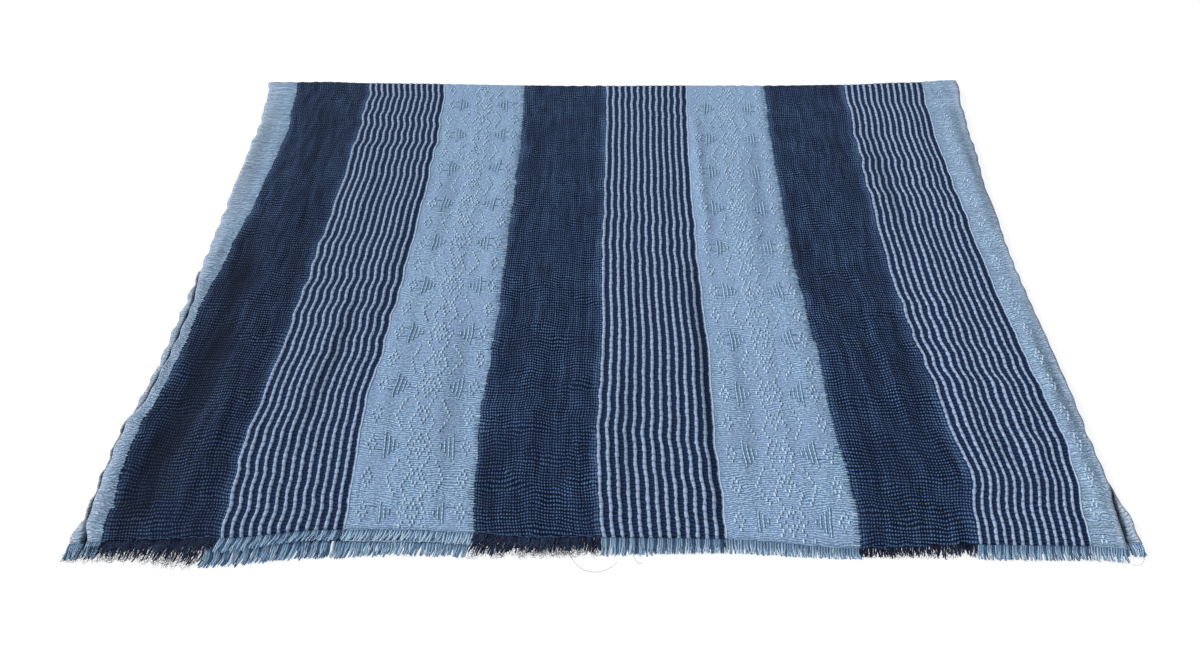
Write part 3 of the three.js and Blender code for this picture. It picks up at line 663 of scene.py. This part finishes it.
def dash_batches():
    """The dashes, and a flat dark mark right of one end of each: a painted shadow, away from the key light."""
    thread, y = brocade_dashes()
    count = len(thread)
    thread = thread + random.normal(0, 0.0022, count)
    y = y + random.normal(0, 0.22, count)
    half = 1.2 + random.normal(0, 0.13, count)
    steps = np.array((-1.0, -0.72, 0.72, 1.0))
    routes = on_cloth(thread[:, None], y[:, None] + steps * half[:, None], np.array((0.02, 0.22, 0.22, 0.02)))
    wide = np.array((0.25, 0.56, 0.56, 0.25)) * (1 + random.normal(0, 0.08, (count, 1)))
    high = np.array((0.12, 0.38, 0.38, 0.12)) * np.ones((count, 1))
    shade = 0.92 + random.normal(0, 0.06, (count, 1)) + np.zeros((1, 4))
    # painted shadow: a flat dark mark on the right of each dash, away from the key light
    side = np.where(random.random(count) < 0.5, 1.0, -1.0)
    reach = np.array((-0.6, -0.3, 0.3, 0.6))
    dash_shadows = on_cloth(thread[:, None] + 0.8 / WIDTHS[3], y[:, None] + side[:, None] * 0.5 + reach)
    dash_shadow_size = np.array((0.12, 0.32, 0.32, 0.12)) + np.zeros((count, 1))
    return [(routes, wide, high, shade),
            (dash_shadows, dash_shadow_size, np.full((count, 4), 0.07), np.full((count, 4), 0.42))]


def bar_batches():
    """The bars of the stars: beaded yarns with a dull line along each side."""
    batches = []
    for band, middle in stars():
        for column, low, high in STAR_BARS:
            for thread in [brocade_thread(band, place) for place in mirrored(column)]:
                y = middle + np.linspace(low, high, BAR_STATIONS) * ROW
                if y[0] < end_line(warp_x(thread, y[0]), "upper") + 2 or y[-1] > BROCADE_BACK_Y:
                    continue
                ends = np.sin(np.linspace(0.12, 0.88, BAR_STATIONS) * math.pi) ** 0.25
                bead = np.abs(np.cos((y - middle) / ROW * math.pi)) ** 0.6
                size = ends * (0.4 + 0.14 * bead)
                route = on_cloth(thread, y, 0.1 + 0.14 * ends * bead)
                batches.append(one_strand(route, size, 0.6 * size, 0.6 + 0.34 * bead))
                for aside in (-0.78, 0.78):
                    beside = on_cloth(thread + aside / WIDTHS[3], y[::4])
                    batches.append(one_strand(beside, 0.36, 0.12, 0.56))
    return batches


def rung_batches():
    """The rungs across the bars of the stars."""
    batches = []
    for band, middle in stars():
        for row, first, last in STAR_RUNGS:
            y = middle + row * ROW
            if not FIRST_RUNG_Y <= y <= BROCADE_BACK_Y:
                continue
            for left, right in ((first, last), (2 * MIDDLE - last, 2 * MIDDLE - first)):
                threads = np.linspace(brocade_thread(band, left), brocade_thread(band, right), 6)
                batches.append(one_strand(on_cloth(threads, y, 0.06), 0.28, 0.18, 0.42))
    return batches


def make_brocade(material):
    """All that stands up from the brocade's ground, and the painted shadows beside its dashes."""
    batches = dash_batches() + bar_batches() + rung_batches()
    return make_strands("brocade_floats", batches, material)


def make_edge_yarns(material):
    """The ragged picks at the right edge of each wide brocade and of the left edging, 1.7 mm apart, and the
    bright cord that starts each brocade."""
    batches = []
    steps = np.linspace(0, 1, 5)
    for band, reach in ((3, 3.0), (6, 3.0), (0, 0.9)):
        y = np.arange(FRONT_Y, BROCADE_BACK_Y, 1.7)
        y = y + random.normal(0, 0.2, len(y))
        y = y[y > end_line(warp_x(band + 0.99, y), "upper") + 0.8]
        count = len(y)
        inner = reach * (1 + random.normal(0, 0.22, count))
        outer = -0.6 + random.normal(0, 0.5, count)
        from_edge = outer[:, None] + (inner - outer)[:, None] * steps
        measure = np.where(from_edge > 0, WIDTHS[band], WIDTHS[band + 1])
        route = on_cloth(band + 1 - from_edge / measure, y[:, None], 0.1)
        wide = np.array((0.28, 0.42, 0.44, 0.38, 0.15)) * np.ones((count, 1))
        batches.append((route, wide, wide * 0.6, 0.84 + random.normal(0, 0.07, (count, 1)) + 0 * wide))
    for band, _ in BROCADES:
        y = np.linspace(-221, 225, 230)
        y = y[y > end_line(warp_x(band, END_Y), "upper") + 0.3]
        route = on_cloth(band + 0.006, y, 0.12 + 0.05 * np.sin(y * 2.1))
        size = 0.5 + 0.08 * np.sin(y * 2.6)
        batches.append(one_strand(route, size, 0.7 * size, 0.86))
    return make_strands("edge_yarns", batches, material)


# ---------------------------------------------------------------- fringes
def resting_height(x, y, height):
    """The top of what a fringe lies on: it falls away past the front of the lower woven end."""
    return np.maximum(0.15, height - past_strip(x, y) * SINKING)


YARN_PITCH, GAUZE_PITCH = 0.76, 0.7
# Yarns of a cord and of the ground beside it: place in pitches from the crest, shade, and how deep each lies.
CORD_YARNS = (
    (-0.22, 0.84, 0.0), (-0.11, 0.66, 0.0), (0.0, 0.88, 0.0), (0.11, 0.68, 0.0), (0.22, 0.84, 0.0),
    (0.36, 0.46, 0.3), (0.47, 0.46, 0.3), (0.58, 0.46, 0.3),
)
# The lowest that a yarn's middle comes, so that it stays on the surface.
LOWEST_YARN = 0.54


def fringe_roots():
    """Threads that come out of a woven end as yarns: thread, shade, half width, and how deep each lies."""
    roots = []
    for band, (weave, width, _) in enumerate(BANDS):
        if weave == CORDED:
            for cord in range(CORD_COUNT):
                crest = band + (cord + CORD_PLACE) * CORD_SHARE
                for place, shade, depth in CORD_YARNS:
                    roots.append((crest + place * CORD_SHARE, shade, 0.46, depth))
            continue
        count = int(width / (GAUZE_PITCH if weave == PLAIN else YARN_PITCH))
        for i in range(count):
            thread = band + (i + 0.5) / count
            if weave == PLAIN:
                roots.append((thread, 0.06 if i % 3 else 0.16, 0.36, 0.2))
            else:
                # every second yarn lies lower and is darker: painted shade in the gaps between the light yarns
                roots.append((thread, 0.6 if i % 2 else 0.86, 0.5, 0.35 * (i % 2)))
    return np.array(roots)


def lean_at(x):
    """How far a yarn's tip lies to the right of its root: the fringe is combed to the left at the left."""
    places = (-290, -215, -145, -75, 0, 65, 140, 205, 285)
    return np.interp(x, places, (-1.5, -3.0, -2.4, -1.6, -0.6, 0.4, 0.8, 0.8, 1.6))


def fringe_routes(thread, upper, stations, stretch, curl, turns):
    """Ways from the woven end over what lies below. stretch is a share of the fringe's reach there, and curl
    is how wide the ways curl, in so many turns."""
    flat_x = warp_x(thread, END_Y)
    end, tips = ("upper", "upper_tips") if upper else ("lower", "lower_tips")
    start_y = end_line(flat_x, end) + 0.6
    leaf_height = LOWER_LEAVES["z"][2]
    if upper:
        root = on_cloth(thread, start_y)
        x, z = root[:, 0], root[:, 2] - LEAF_THICKNESS / 2
        height = leaf_height + LOWER_THICKNESS / 2
    else:
        x, z = lower_x(thread, start_y, 2), np.full(len(thread), leaf_height)
        height = leaf_height - LOWER_THICKNESS / 2
    count = len(thread)
    share = np.linspace(0, 1, stations)
    reach = (start_y - end_line(flat_x, tips)) * stretch
    lean = lean_at(x) + random.normal(0, 0.5, count)
    start = random.uniform(0, 2 * math.pi, count)
    way_x = x[:, None] + lean[:, None] * share**1.4 + 0.25 * np.sin(4.5 * share + start[:, None]) * share
    way_y = start_y[:, None] - reach[:, None] * share
    turn = 2 * math.pi * turns * share * np.where(start > math.pi, 1, -1)[:, None] + start[:, None]
    size = curl * smooth(share, 0.25, 0.8)
    way_x, way_y = way_x + size * (np.cos(turn) - np.cos(start[:, None])), way_y + 0.8 * size * np.sin(turn)
    rest = resting_height(way_x, way_y, height) + 0.35 + 0.35 * random.random((count, 1))
    settle = smooth(share, 0.0, 0.45)
    way_z = np.maximum(z[:, None] * (1 - settle) + rest * settle, rest * 0.98)
    return np.stack((way_x, way_y, way_z + 0.3 * size * (1 + np.cos(1.3 * turn))), -1)


def make_fringe(name, upper, material, node):
    """The yarns of one woven end. The gauze's are shorter and less even than the others."""
    roots = fringe_roots()
    thread = np.clip(roots[:, 0] + random.normal(0, 0.0025, len(roots)), 0.03, 9.97)
    count, stations = len(thread), 7
    plain = WEAVES[band_of(thread)] == PLAIN
    stretch = np.where(plain, 0.7 + random.normal(0, 0.14, count), 1.03 + random.normal(0, 0.055, count))
    routes = fringe_routes(thread, upper, stations, stretch, 0.3, 0.7)
    share = np.linspace(0, 1, stations)
    depth = roots[:, 3][:, None] * np.sin(math.pi * share) ** 0.5
    routes[:, :, 2] = np.maximum(routes[:, :, 2] - depth, LOWEST_YARN)
    fullness = 1.1 if upper else 1.25
    size = fullness * roots[:, 2][:, None] * np.array((0.9, 1.0, 1.05, 1.05, 1.0, 0.95, 0.75))
    tone = roots[:, 1] + random.normal(0, 0.06, count) - (0.0 if upper else 0.1)
    # each yarn is darker near its root: painted shade where it leaves the cloth's woven end
    shade = np.clip(tone[:, None] + np.array((-0.25, -0.12, -0.04, 0.0, 0.03, 0.05, 0.05)), 0.02, 1)
    piece = make_strands(name, [(routes, size, 0.8 * size, shade)], material)
    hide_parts(node)
    return piece


# Loose hairs that lie on the surface in front: the places that each passes.
STRAYS = (
    ((-24, -224, 4.0), (-19, -229, 1.2), (-15, -234.5, 0.4), (-8, -238, 0.3), (1, -236, 0.3), (7, -231, 0.8)),
    ((14, -224, 3.0), (15, -229, 0.8), (18, -232.5, 0.3), (20, -231, 0.6)),
    ((284, -219, 4.5), (289, -222, 2.2), (290.5, -226, 1.0), (287, -229.5, 0.5), (282, -229, 0.7)),
)


def stray_route(places):
    """A smooth way through the places, in 16 steps."""
    places = np.array(places, float)
    at = np.linspace(0, len(places) - 1, 17)
    nearest = np.maximum(0, 1 - np.abs(at[:, None] - np.arange(len(places))))
    softener = (0.1, 0.25, 0.3, 0.25, 0.1)
    ways = [np.convolve(np.pad(way, 2, mode="edge"), softener, "valid") for way in (nearest @ places).T]
    return np.stack(ways, 1)


def tufted(count):
    """Places across a band, 0 to 1, that crowd into about nine uneven tufts."""
    tufts = (np.arange(9) + random.uniform(0.1, 0.9, 9)) / 9
    return np.clip(random.choice(tufts, count) + random.normal(0, 0.03, count), 0.01, 0.99)


# Kinds of hair: bands, hairs to each of their millimetres, shade, reach, curl and its turns.
HAIR_KINDS = (
    ((1, 4, 7), 3.0, 0.24, (0.45, 1.0), 0.9, 1.6),
    ((1, 4), 1.9, 0.3, (0.9, 1.22), 1.35, 1.9),
    ((0, 2, 3, 5, 6, 8, 9), 0.7, 0.66, (0.9, 1.15), 0.5, 0.8),
    ((2, 5, 8), 1.6, 0.4, (0.8, 1.1), 0.6, 1.0),
    ((0,), 6.0, 0.4, (0.7, 1.2), 1.0, 1.7),
)


def make_hairs(material):
    """Thin curly ends of the gauze's single threads, and the fluff among the yarns."""
    batches = []
    for upper in (True, False):
        for bands, density, tone, (low, high), curl, turns in HAIR_KINDS:
            thread = np.concatenate([band + tufted(int(WIDTHS[band] * density)) for band in bands])
            count, stations = len(thread), 13 if turns > 1.5 else 9
            routes = fringe_routes(thread, upper, stations, random.uniform(low, high, count), curl, turns)
            size = np.full((count, stations), 0.12) * np.linspace(1.2, 0.7, stations)
            shade = np.clip(tone + random.normal(0, 0.1, (count, 1)) + 0 * size, 0.02, 1)
            batches.append((routes, size, size, shade))
    batches += [one_strand(stray_route(places), 0.11, 0.11, 0.3) for places in STRAYS]
    return make_strands("fringe_hairs", batches, material, sides=3)


def make_end_pick_and_highlights(material):
    """The bright last pick on the lower end under the first brocade, and dull painted highlights on the gauze.
    """
    stations = 60
    x = np.linspace(-141, -73, stations)
    y = end_line(x, "lower") - 0.35 + 0.12 * np.sin(x / 2.3)
    height = LOWER_LEAVES["z"][2] + LOWER_THICKNESS / 2 + 0.1
    size = 0.3 + 0.06 * np.sin(x * 1.9)
    batches = [one_strand(np.stack((x, y, np.full(stations, height)), -1), size, size, 1.0)]
    # painted highlight: dull lighter lines along the gauze's upper woven end, where its edge catches the light
    for band, first, last in ((1, 0.3, 0.97), (4, 0.05, 0.95), (7, 0.1, 0.5)):
        thread = band + np.linspace(first, last, stations)
        woven = end_line(warp_x(thread, END_Y), "upper")
        y = woven + 0.5 + 0.25 * np.sin(thread * 47) + random.normal(0, 0.06, stations)
        size = 0.27 * (0.8 + 0.3 * np.sin(thread * 130))
        batches.append(one_strand(on_cloth(thread, y, 0.02), size, size, 0.34 + 0.08 * np.sin(thread * 90)))
    return make_strands("end_pick_and_highlights", batches, material)


# ---------------------------------------------------------------- materials
def linear(code):
    """An sRGB hex colour as linear RGBA."""
    parts = [int(code[i:i + 2], 16) / 255 for i in (1, 3, 5)]
    return (*[c / 12.92 if c <= 0.04045 else ((c + 0.055) / 1.055) ** 2.4 for c in parts], 1.0)


def add(tree, kind, *inputs, stops=(), named=None, **settings):
    """Adds a node. Each input is a value, a colour's code, a node to link from, or one of its outputs."""
    made = tree.nodes.new("ShaderNode" + kind)
    for key, value in settings.items():
        setattr(made, key, value)
    for place, value in [*enumerate(inputs), *(named or {}).items()]:
        if isinstance(value, bpy.types.Node):
            value = value.outputs[0]
        if isinstance(value, bpy.types.NodeSocket):
            tree.links.new(value, made.inputs[place])
        elif value is not None:
            made.inputs[place].default_value = linear(value) if isinstance(value, str) else value
    for i, (place, colour) in enumerate(stops):
        stop = made.color_ramp.elements[i] if i < 2 else made.color_ramp.elements.new(place)
        stop.position, stop.color = place, linear(colour)
    return made


def new_material(name):
    """An empty material, and its tree of nodes."""
    material = bpy.data.materials.new(name)
    material.use_nodes = True
    material.node_tree.nodes.clear()
    return material, material.node_tree


def finish_material(tree, colour, height, roughness, sheen, glow=0.0):
    """Joins a dull surface to its colour, its height in millimetres, and its own light if it has any."""
    bump = add(tree, "Bump", named={"Strength": 1.0, "Distance": 0.001, "Height": height})
    shader = add(tree, "BsdfPrincipled", named={
        "Base Color": colour, "Normal": bump, "Roughness": roughness, "IOR": 1.46,
        "Specular IOR Level": 0.12, "Sheen Weight": sheen, "Sheen Roughness": 0.4,
        "Emission Color": "#ffffff", "Emission Strength": glow,
    })
    add(tree, "OutputMaterial", shader)


def wave(tree, value, period, start=0.0):
    """Nodes for a wave between 0 and 1 over a length in millimetres."""
    turn = add(tree, "Math", value, 2 * math.pi / period, start, operation="MULTIPLY_ADD")
    return add(tree, "Math", add(tree, "Math", turn, operation="SINE"), 0.5, 0.5, operation="MULTIPLY_ADD")


def cotton_maps(tree):
    """What all the weaves are drawn from: places in millimetres, which wander as threads do, and mottles."""
    place = add(tree, "UVMap", uv_map="cloth")
    across, along, _ = add(tree, "SeparateXYZ", place).outputs
    from_left, to_right, _ = add(tree, "SeparateXYZ", add(tree, "UVMap", uv_map="band")).outputs

    # the threads wander by up to 3 mm over 26 mm, and by 0.4 mm over 4 mm
    slow = add(tree, "TexNoise", place, named={"Scale": 1 / 26, "Detail": 1.0}, noise_dimensions="2D")
    quick = add(tree, "TexNoise", place, named={"Scale": 1 / 4.2, "Detail": 1.0}, noise_dimensions="2D")
    wander = add(tree, "Math", slow, 8.0, -4.0, operation="MULTIPLY_ADD")
    small = add(tree, "Math", quick, 1.3, -0.65, operation="MULTIPLY_ADD")
    row = add(tree, "Math", add(tree, "Math", along, wander, operation="ADD"), small, operation="ADD")
    shifted = add(tree, "Math", small, 0.9, operation="MULTIPLY")
    return SimpleNamespace(
        place=place, across=across, from_left=from_left, to_right=to_right, small=small, row=row,
        column=add(tree, "Math", across, shifted, operation="ADD"),
        nearest=add(tree, "Math", from_left, to_right, operation="MINIMUM"),
        rows=wave(tree, row, 2.25),
        broad=add(tree, "TexNoise", place, named={"Scale": 1 / 34, "Detail": 2.0}, noise_dimensions="2D"),
        speck=add(tree, "TexNoise", place, named={"Scale": 1 / 1.1, "Detail": 2.0}, noise_dimensions="2D"),
    )


def gauze_face(tree, cotton):
    """Colour and rise of the gauze: weft rows 2.25 mm apart over warp threads 1.65 mm apart, with a hole at
    every crossing, and denser at the band's edges."""
    warps = wave(tree, cotton.column, 1.65)
    lit = add(tree, "Math", warps, 0.6, 0.33, operation="MULTIPLY_ADD")
    dashes = add(tree, "Math", add(tree, "Math", cotton.rows, lit, operation="MULTIPLY"),
                 add(tree, "Math", warps, 0.14, operation="MULTIPLY"), operation="ADD")
    open_part = add(tree, "MapRange", cotton.nearest, 2.5, 5.5, 0.0, 1.0)
    firm = add(tree, "Math", 1.0, open_part, operation="SUBTRACT")
    dense = add(tree, "Math", firm, 0.25, dashes, operation="MULTIPLY_ADD")

    # streaks along the warp, where the crinkle packs the threads closer: 4 mm wide and 30 mm long
    stretched = add(tree, "Mapping", cotton.place, named={"Scale": (1 / 4.0, 1 / 30.0, 1.0)})
    streak = add(tree, "TexNoise", stretched, named={"Scale": 1.0, "Detail": 2.0}, noise_dimensions="2D")
    streaked = add(tree, "Math", streak, 0.6, dense, operation="MULTIPLY_ADD")
    height = add(tree, "Math", cotton.speck, 0.5, add(tree, "Math", streaked, 0.46, operation="SUBTRACT"),
                 operation="MULTIPLY_ADD")
    face = add(tree, "ValToRGB", height, stops=(
        (0.1, "#020916"), (1.0, "#58749b"), (0.36, "#09182f"), (0.68, "#1e3457")))
    tint = add(tree, "MapRange", cotton.broad, 0.35, 0.65, 0.0, 0.35)
    return add(tree, "MixRGB", tint, face, "#18223f"), add(tree, "Math", height, 0.4, operation="MULTIPLY")


def corded_face(tree, cotton):
    """Colour and rise of a corded band: 13 cords 5.1 mm apart and 2 mm wide, each tied by a dark pick every
    4.4 mm, on a dark ground."""
    cell = add(tree, "Math", cotton.from_left, 1 / CORD_PITCH, operation="MULTIPLY")
    inside = add(tree, "Math", add(tree, "Math", cell, operation="FRACT"), CORD_PLACE, operation="SUBTRACT")
    from_crest = add(tree, "Math", inside, operation="ABSOLUTE")
    aside = add(tree, "Math", from_crest, CORD_PITCH, operation="MULTIPLY")
    own = add(tree, "Math", add(tree, "Math", cell, operation="FLOOR"), 2.2, operation="MULTIPLY")
    beat = add(tree, "Math", cotton.row, 2 * math.pi / 4.4, own, operation="MULTIPLY_ADD")
    knot = add(tree, "Math", beat, operation="SINE")
    edge = add(tree, "Math", knot, -0.07, aside, operation="MULTIPLY_ADD")
    ragged = add(tree, "Math", cotton.small, 0.8, edge, operation="MULTIPLY_ADD")
    cord = add(tree, "MapRange", ragged, 0.68, 1.16, 1.0, 0.0)
    uneven = add(tree, "Math", cotton.small, 0.6, knot, operation="MULTIPLY_ADD")
    tie = add(tree, "MapRange", uneven, -0.74, -0.98, 0.0, 0.55)
    fine = wave(tree, cotton.row, 1.15)
    light = add(tree, "Math", fine, 0.35, add(tree, "Math", cotton.speck, 0.75, operation="MULTIPLY"),
                operation="MULTIPLY_ADD")
    soft = add(tree, "ValToRGB", light, stops=((0.2, "#6d84a6"), (0.85, "#a6b9d2")))
    tied = add(tree, "MixRGB", tie, soft, "#3d5273")
    dull = add(tree, "Math", cotton.rows, 0.7, add(tree, "Math", cotton.speck, 0.35, operation="MULTIPLY"),
               operation="MULTIPLY_ADD")
    ground = add(tree, "ValToRGB", dull, stops=((0.15, "#0a1427"), (0.95, "#21365a")))
    rise = add(tree, "Math", tie, -0.3, add(tree, "Math", light, 0.16, operation="MULTIPLY"),
               operation="MULTIPLY_ADD")
    return add(tree, "MixRGB", cord, ground, tied), rise


def brocade_face(tree, cotton, weave, rim_highlight):
    """Colour and rise of the brocade's ground and of the two edgings; the edgings' colour has painted light
    and shade.
    """
    # weft ribs 1.4 mm apart, mottled, with a comb of dark gaps along a brocade's right edge
    ribs = wave(tree, cotton.row, 1.4)
    noise = add(tree, "TexNoise", cotton.place, named={"Scale": 1 / 1.7, "Detail": 2.0}, noise_dimensions="2D")
    mottle = add(tree, "Math", noise, 0.4, operation="MULTIPLY")
    grained = add(tree, "Math", cotton.speck, 0.5, mottle, operation="MULTIPLY_ADD")
    light = add(tree, "Math", ribs, 0.31, grained, operation="MULTIPLY_ADD")
    ribbed = add(tree, "ValToRGB", light, stops=((0.32, "#3b5e85"), (0.88, "#bad1e5"), (0.57, "#6c8aac")))
    lilac = add(tree, "MapRange", cotton.broad, 0.42, 0.62, 0.0, 0.3)
    tinted = add(tree, "MixRGB", lilac, ribbed, "#7f92b8")
    is_brocade = add(tree, "Math", weave, 2.5, operation="LESS_THAN")
    uneven = add(tree, "Math", cotton.small, 2.2, cotton.to_right, operation="MULTIPLY_ADD")
    comb = add(tree, "MapRange", uneven, 2.2, 3.4, 1.0, 0.0)
    teeth = add(tree, "MapRange", wave(tree, cotton.row, 1.75), 0.4, 0.75, 0.8, 0.05)
    comb_teeth = add(tree, "Math", comb, teeth, operation="MULTIPLY")
    gaps = add(tree, "Math", comb_teeth, is_brocade, operation="MULTIPLY")
    combed = add(tree, "MixRGB", gaps, tinted, "#385677")

    # edgings are gathered every 2.1 mm; painted shade darkens the gathers' hollows and the side by the gauze
    is_edging = add(tree, "Math", 1.0, is_brocade, operation="SUBTRACT")
    to_end = add(tree, "Math", float(STARTS[-1]), cotton.across, operation="SUBTRACT")
    from_selvedge = add(tree, "Math", cotton.across, to_end, operation="MINIMUM")
    from_gauze = add(tree, "Math", cotton.nearest, cotton.small, operation="ADD")
    inner_dark = add(tree, "Math", add(tree, "MapRange", from_gauze, 0.0, 3.6, 0.5, 0.0),
                     add(tree, "MapRange", from_selvedge, 4.0, 6.5, 0.0, 1.0), operation="MULTIPLY")
    gather = wave(tree, add(tree, "Math", cotton.small, 1.2, cotton.row, operation="MULTIPLY_ADD"), 2.1)
    hollow = add(tree, "MapRange", gather, 0.5, 0.0, 0.0, 0.22)
    darker = add(tree, "Math", add(tree, "Math", inner_dark, hollow, operation="MAXIMUM"), is_edging,
                 operation="MULTIPLY")
    # painted highlight on the gathers' crowns
    lighter = add(tree, "MapRange", gather, 0.2, 1.0, 0.08, 0.5)
    crown = add(tree, "Math", lighter, is_edging, operation="MULTIPLY")
    # painted highlight on the outer few millimetres at each selvedge
    rim = add(tree, "MapRange", from_selvedge, 2.5, 5.5, rim_highlight, 0.0)
    hollowed = add(tree, "MixRGB", darker, combed, "#3f5f86")
    crowned = add(tree, "MixRGB", crown, hollowed, "#b2cce0")
    gathers = add(tree, "Math", gather, is_edging, operation="MULTIPLY")
    rise = add(tree, "Math", gathers, 0.7, add(tree, "Math", light, 0.2, operation="MULTIPLY"),
               operation="MULTIPLY_ADD")
    return add(tree, "MixRGB", rim, crowned, "#c3ccda"), rise


def banded_cotton(name, rim_highlight):
    """Cotton woven in bands: an open navy gauze, navy ribbed with soft light cords, and a matt light blue
    brocade. It gives a dull, slightly napped face whose threads catch the light one by one."""
    material, tree = new_material(name)
    cotton = cotton_maps(tree)
    weave = add(tree, "Attribute", attribute_name="weave").outputs["Fac"]
    is_corded = add(tree, "Math", weave, float(CORDED), 0.5, operation="COMPARE")
    is_figured = add(tree, "Math", weave, 1.5, operation="GREATER_THAN")
    brocade = brocade_face(tree, cotton, weave, rim_highlight)
    colour, height = [
        add(tree, "MixRGB", is_figured, add(tree, "MixRGB", is_corded, gauze, corded), figured)
        for gauze, corded, figured in zip(gauze_face(tree, cotton), corded_face(tree, cotton), brocade)
    ]
    shaded = add(tree, "Attribute", attribute_name="shaded").outputs["Fac"]
    dark = add(tree, "Math", shaded, 0.9, operation="MULTIPLY")
    finish_material(tree, add(tree, "MixRGB", dark, colour, "#050a18"), height, 0.92, 0.015)
    return material


def twisted_yarn(name):
    """Loose cotton yarn of two strands, dyed from navy to pale blue. It looks soft, with a dark line along
    each turn of its twist."""
    material, tree = new_material(name)
    around, along, _ = add(tree, "SeparateXYZ", add(tree, "UVMap", uv_map="yarn")).outputs
    shade = add(tree, "Attribute", attribute_name="shade").outputs["Fac"]
    spiral = add(tree, "Math", around, 1.6, along, operation="MULTIPLY_ADD")
    twist = wave(tree, spiral, 1.5)
    place = add(tree, "TexCoord").outputs["Object"]
    speck = add(tree, "TexNoise", place, named={"Scale": 900.0, "Detail": 1.0})
    mixed = add(tree, "Math", twist, 0.14, shade, operation="MULTIPLY_ADD")
    varied = add(tree, "Math", speck, 0.2, mixed, operation="MULTIPLY_ADD")
    tone = add(tree, "Math", varied, 0.17, operation="SUBTRACT")
    colour = add(tree, "ValToRGB", tone, stops=(
        (0.0, "#0d1428"), (1.0, "#bdd2e4"), (0.2, "#33334f"), (0.45, "#46668a"), (0.7, "#7896b3"),
        (0.88, "#9cb8d0")))
    height = add(tree, "Math", twist, 0.1, operation="MULTIPLY")
    finish_material(tree, colour, height, 0.92, 0.03)
    return material


def matt_paper(name):
    """White translucent paper over a light table: matt, even and nearly white, with a light of its own."""
    material, tree = new_material(name)
    place = add(tree, "TexCoord").outputs["Object"]
    grain = add(tree, "TexNoise", place, named={"Scale": 700.0, "Detail": 2.0})
    height = add(tree, "Math", grain, 0.02, operation="MULTIPLY")
    finish_material(tree, "#929293", height, 0.95, 0.0, glow=0.78)
    return material


# ---------------------------------------------------------------- the scarf
# Two copies of one cloth: the one below gets a stronger painted highlight at its selvedges.
banded = banded_cotton("banded crinkle cotton", 0.25)
folded = banded_cotton("banded crinkle cotton under", 0.6)
yarn = twisted_yarn("twisted cotton yarn")

upper_cloth = make_upper_leaf(banded)
lower_cloth = make_lower_leaves(folded)
floats = make_brocade(yarn)
edge_yarns = make_edge_yarns(yarn)
upper_yarns = make_fringe("upper_fringe_yarns", True, yarn, "upper_fringe")
lower_yarns = make_fringe("lower_fringe_yarns", False, yarn, "lower_fringe")
hairs = make_hairs(yarn)
end_pick_and_highlights = make_end_pick_and_highlights(yarn)

# ---------------------------------------------------------------- floor, light and camera
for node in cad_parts.values():
    node.select_set(False)
bpy.ops.mesh.primitive_plane_add(size=8.0, location=(0, 0, 0))
floor = bpy.context.object
floor.name = "paper_floor"
floor.data.materials.append(matt_paper("white background paper"))

world = bpy.data.worlds.new("studio")
bpy.context.scene.world = world
world.use_nodes = True
world.node_tree.nodes["Background"].inputs["Color"].default_value = linear("#ffffff")
world.node_tree.nodes["Background"].inputs["Strength"].default_value = 0.42
bpy.context.scene.view_settings.view_transform = "Standard"

# A large soft key from the left and a little behind, a weak fill from the right, and a weak lamp in front.
# Each has its strength, and in degrees its spread, its angle over the floor, and its heading from +X to +Y.
LIGHTS = (
    ("key", 3.3, 26.0, 32.0, 160.0),
    ("fill", 0.25, 60.0, 60.0, -20.0),
    ("front", 0.6, 50.0, 24.0, -95.0),
)
for name, strength, spread, height, heading in LIGHTS:
    light = bpy.data.lights.new(name, "SUN")
    light.energy = strength
    light.angle = math.radians(spread)
    lamp = bpy.data.objects.new(name, light)
    bpy.context.scene.collection.objects.link(lamp)
    lamp.rotation_euler = (math.radians(90 - height), 0.0, math.radians(heading + 90))

# The camera stands in front of the scarf and looks down at it, turned a little to the left.
CAMERA_PLACE = (-0.08, -455.4, 427.7)
CAMERA_DOWN, CAMERA_TURN = 47.587, 0.806
camera = bpy.data.cameras.new("camera")
camera.lens = 26.0
camera.sensor_width = 36.0
view = bpy.data.objects.new("camera", camera)
bpy.context.scene.collection.objects.link(view)
view.location = to_frame(CAMERA_PLACE)[0]
view.rotation_euler = (math.radians(90 - CAMERA_DOWN), 0.0, math.radians(CAMERA_TURN))
bpy.context.scene.camera = view
